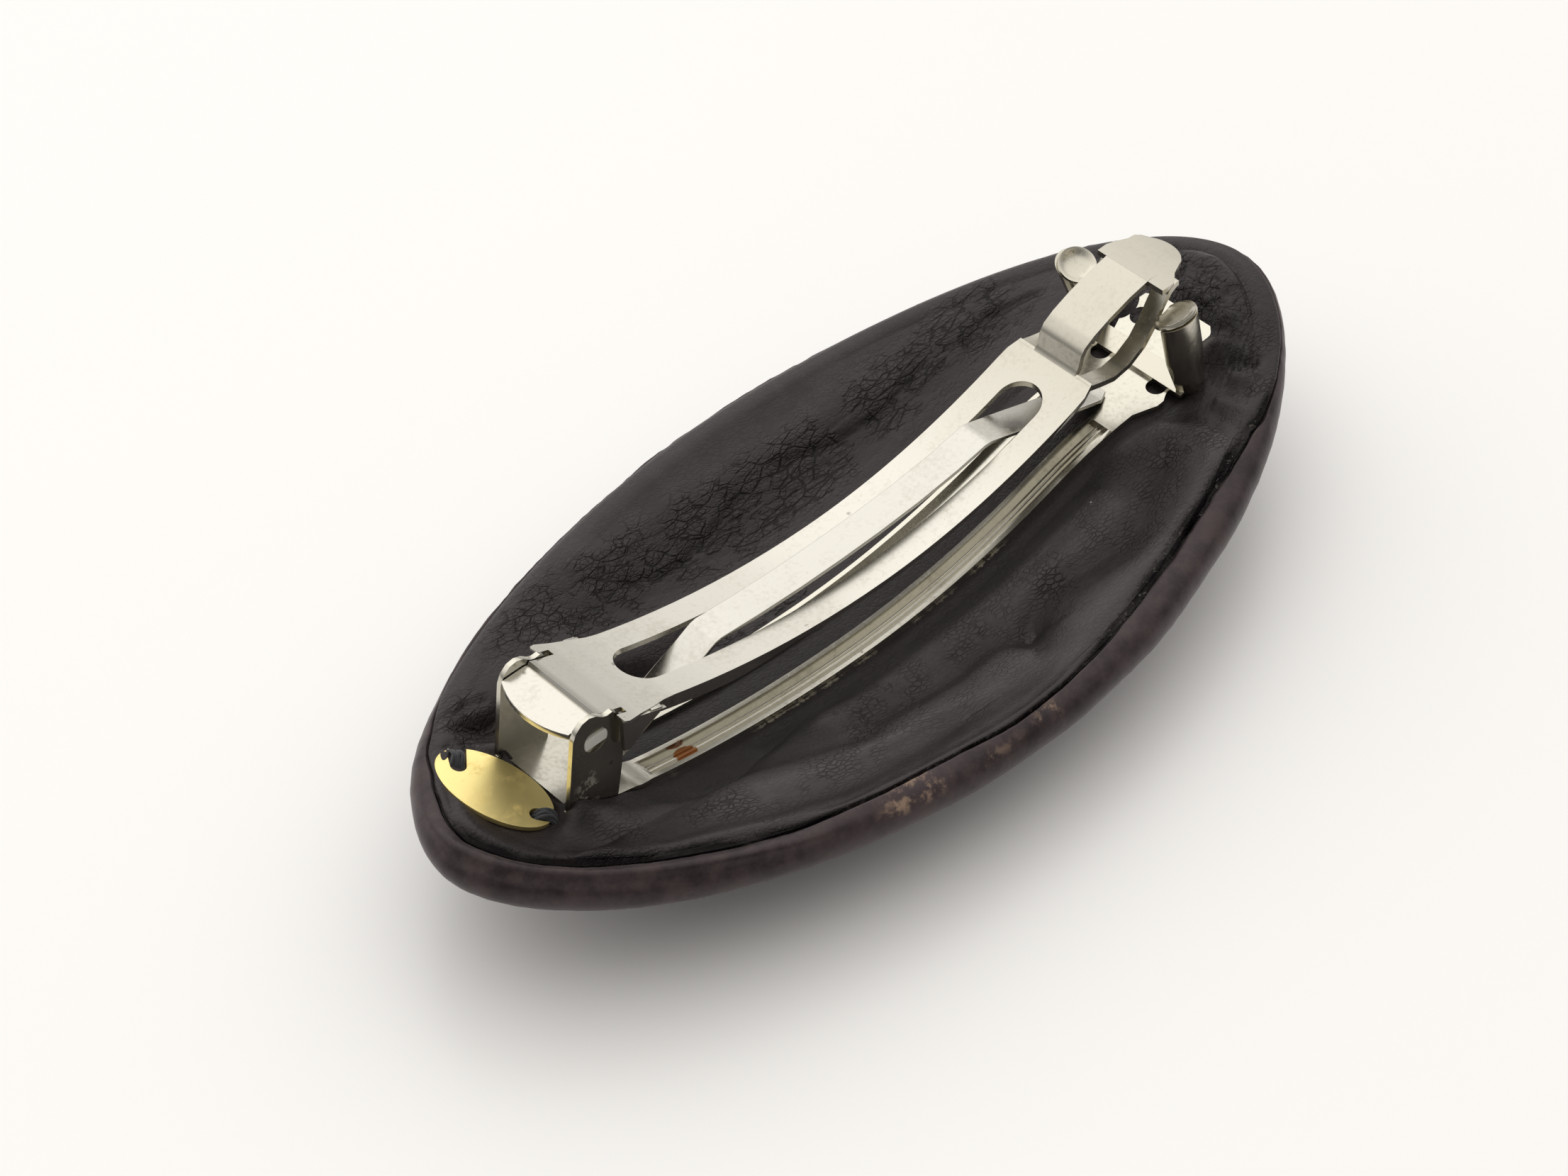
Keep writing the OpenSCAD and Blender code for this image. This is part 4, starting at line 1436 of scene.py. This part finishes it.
@dataclass
class ClipMetal:
    """Sheet metal of the clip: each piece keeps its solid's shape and gets worn, rounded edges.

    The arm's outer bands lie from band_inner to band_outer, where its head reaches arm_outer. The near
    finger ear stands on ear_foot at ear_x and leans by ear_lean degrees.
    """

    segments: int = 3
    merge_within: float = 2e-6
    flat_below: float = 0.4
    bevel_above: float = 38.0
    sharp_above: float = 50.0
    band_inner: float = 2.75
    band_outer: float = 4.55
    arm_outer: float = 5.0
    shoulder_x: float = 21.4
    tab_x: float = 30.0
    tab_draw: float = 0.95
    ear_x: float = 37.0
    ear_foot: float = 13.8
    ear_lean: float = 19.0
    ear_gain: float = 0.2

    def _formed(self, x: float, y: float) -> float:
        """Rounds the arm's shoulders and draws its far band in under the tab.

        Args:
            x, y: place along and across the clip in millimetres.

        Returns:
            The new place across the clip.
        """
        side = abs(y)
        inner, outer = self.band_inner, self.band_outer
        if side <= inner or x < self.shoulder_x:
            return y
        if x < 24.1 and side > outer + 0.01:
            share = min(1.0, (x - self.shoulder_x) / 2.5)
            reach = outer + (self.arm_outer - outer) * math.sqrt(1 - share * share)
            side = inner + (side - inner) * (reach - inner) / (self.arm_outer - inner)
        elif y > 0 and x > self.tab_x and side > outer - 0.2:
            side = outer - self.tab_draw * smooth(x, 30.5, 33.6)
        return math.copysign(side, y)

    def _widened(self, x: float, y: float, z: float) -> float:
        """Makes the near finger ear a little broader about its leaning middle line.

        Args:
            x, y, z: place of a point in millimetres.

        Returns:
            The new place along the clip.
        """
        if y > -4.8 or z < 14.6:
            return x
        middle = self.ear_x - math.tan(math.radians(self.ear_lean)) * (z - self.ear_foot)
        return middle + (x - middle) * (1 + self.ear_gain * smooth(z, 14.6, 16.0))

    def build(self, part: MetalPart) -> bpy.types.Object:
        """Copies a solid's mesh, merges it and rounds its edges.

        Args:
            part: the piece to build.

        Returns:
            The rounded piece.
        """
        node, _, width, _, finish = part.value
        bm = bmesh.new()
        bm.from_mesh(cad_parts[node].data)
        bmesh.ops.remove_doubles(bm, verts=bm.verts, dist=self.merge_within)
        flat = math.radians(self.flat_below)
        bmesh.ops.dissolve_limit(bm, angle_limit=flat, verts=bm.verts, edges=bm.edges, delimit={"NORMAL"})
        for vert in bm.verts:
            if part is MetalPart.ARM:
                vert.co.y = self._formed(vert.co.x / MM, vert.co.y / MM) * MM
            if part is MetalPart.CATCH:
                vert.co.x = self._widened(*(vert.co / MM)) * MM
        bmesh.ops.bevel(
            bm, geom=sharp_edges(bm, self.bevel_above), offset=width * MM, offset_type="OFFSET",
            segments=self.segments, profile=0.5, affect="EDGES", clamp_overlap=True, material=-1,
        )
        made = new_object(f"{node}_rounded", bm, finish.material(), self.sharp_above)
        even = made.modifiers.new("even_light", "WEIGHTED_NORMAL")
        even.mode = "FACE_AREA"
        even.weight = 60
        even.keep_sharp = True
        return made

    def dress(self) -> list[bpy.types.Object]:
        """Builds every metal piece and attaches it to its body.

        Returns:
            The metal pieces.
        """
        pieces = []
        for part in MetalPart:
            node, body, _, slot, _ = part.value
            piece = self.build(part)
            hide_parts(node)
            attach(piece, body)
            pieces.append(piece)
        return pieces


@dataclass
class Studio:
    """Pale floor, soft light and the camera.

    Lengths are in millimetres, but for the floor and the lamp, which are in metres.
    """

    eye: Place = (-166.877, -161.972, 242.823)
    target: Place = (-10.889, 0.749, 14.8)
    roll: float = 0.24
    sensor: float = 36.0
    focal_px: float = 5000.0
    image_px: tuple[int, int] = (2212, 1659)
    floor_half: float = 1.5
    floor_colour: Colour = (0.90, 0.89, 0.875)
    sky_colour: Colour = (1.0, 0.985, 0.96)
    sky_heading: Place = (0.26, 0.58, 0.77)
    sky_dim: float = 0.27
    sky_gain: float = 1.08
    lamp_at: Place = (0.12, 0.50, 0.64)
    lamp_aim: Place = (0, 0, 0.01)
    lamp_size: float = 0.8
    lamp_power: float = 0.65

    def build_camera(self) -> None:
        """Sets the camera at the photograph's viewing angle."""
        data = bpy.data.cameras.new("camera")
        data.sensor_fit = "HORIZONTAL"
        data.sensor_width = self.sensor
        data.lens = self.sensor * self.focal_px / self.image_px[0]
        data.clip_start = 0.01
        eye = Vector(self.eye) * MM
        look = (Vector(self.target) * MM - eye).normalized()
        turn = look.to_track_quat("-Z", "Y").to_matrix().to_4x4()
        rolled = Matrix.Rotation(math.radians(-self.roll), 4, "Z")
        made = linked("camera", data)
        made.matrix_world = Matrix.Translation(eye) @ turn @ rolled
        bpy.context.scene.camera = made

    def build_floor(self) -> None:
        """Lays the pale glossy floor."""
        bm = bmesh.new()
        bmesh.ops.create_grid(bm, x_segments=1, y_segments=1, size=self.floor_half)
        finish = Shader("floor").finish(Base_Color=self.floor_colour, Roughness=0.32)
        new_object("floor", bm, finish)

    def build_lights(self) -> None:
        """Lights the scene from above and behind, dim at the front, with one softer lamp."""
        s = SkyShader("studio")
        bright = s.toward(self.sky_heading).between(-0.15, 0.75) * s.toward((0, 0, 1)).between(-0.10, 0.50)
        s.set(Color=self.sky_colour, Strength=self.sky_dim + bright * self.sky_gain)
        bpy.context.scene.world = s.world
        data = bpy.data.lights.new("key", "AREA")
        data.size = self.lamp_size
        data.energy = self.lamp_power
        lamp = linked("key", data)
        lamp.location = self.lamp_at
        aim = (Vector(self.lamp_aim) - Vector(self.lamp_at)).normalized()
        lamp.rotation_euler = aim.to_track_quat("-Z", "Y").to_euler()

    def build(self) -> None:
        """Builds the whole studio."""
        bpy.context.scene.view_settings.view_transform = "Standard"
        self.build_camera()
        self.build_floor()
        self.build_lights()


def main() -> None:
    """Builds every sub-assembly in order and reports its pieces."""
    logging.basicConfig(level=logging.INFO, format="%(name)s: %(message)s")
    Studio().build()
    for group in (LeatherFace(), BackLeather(), PlateThread(), ClipMetal()):
        for piece in group.dress():
            LOG.info("%s: %d faces", piece.name, len(piece.data.polygons))


if __name__ == "__main__":
    main()
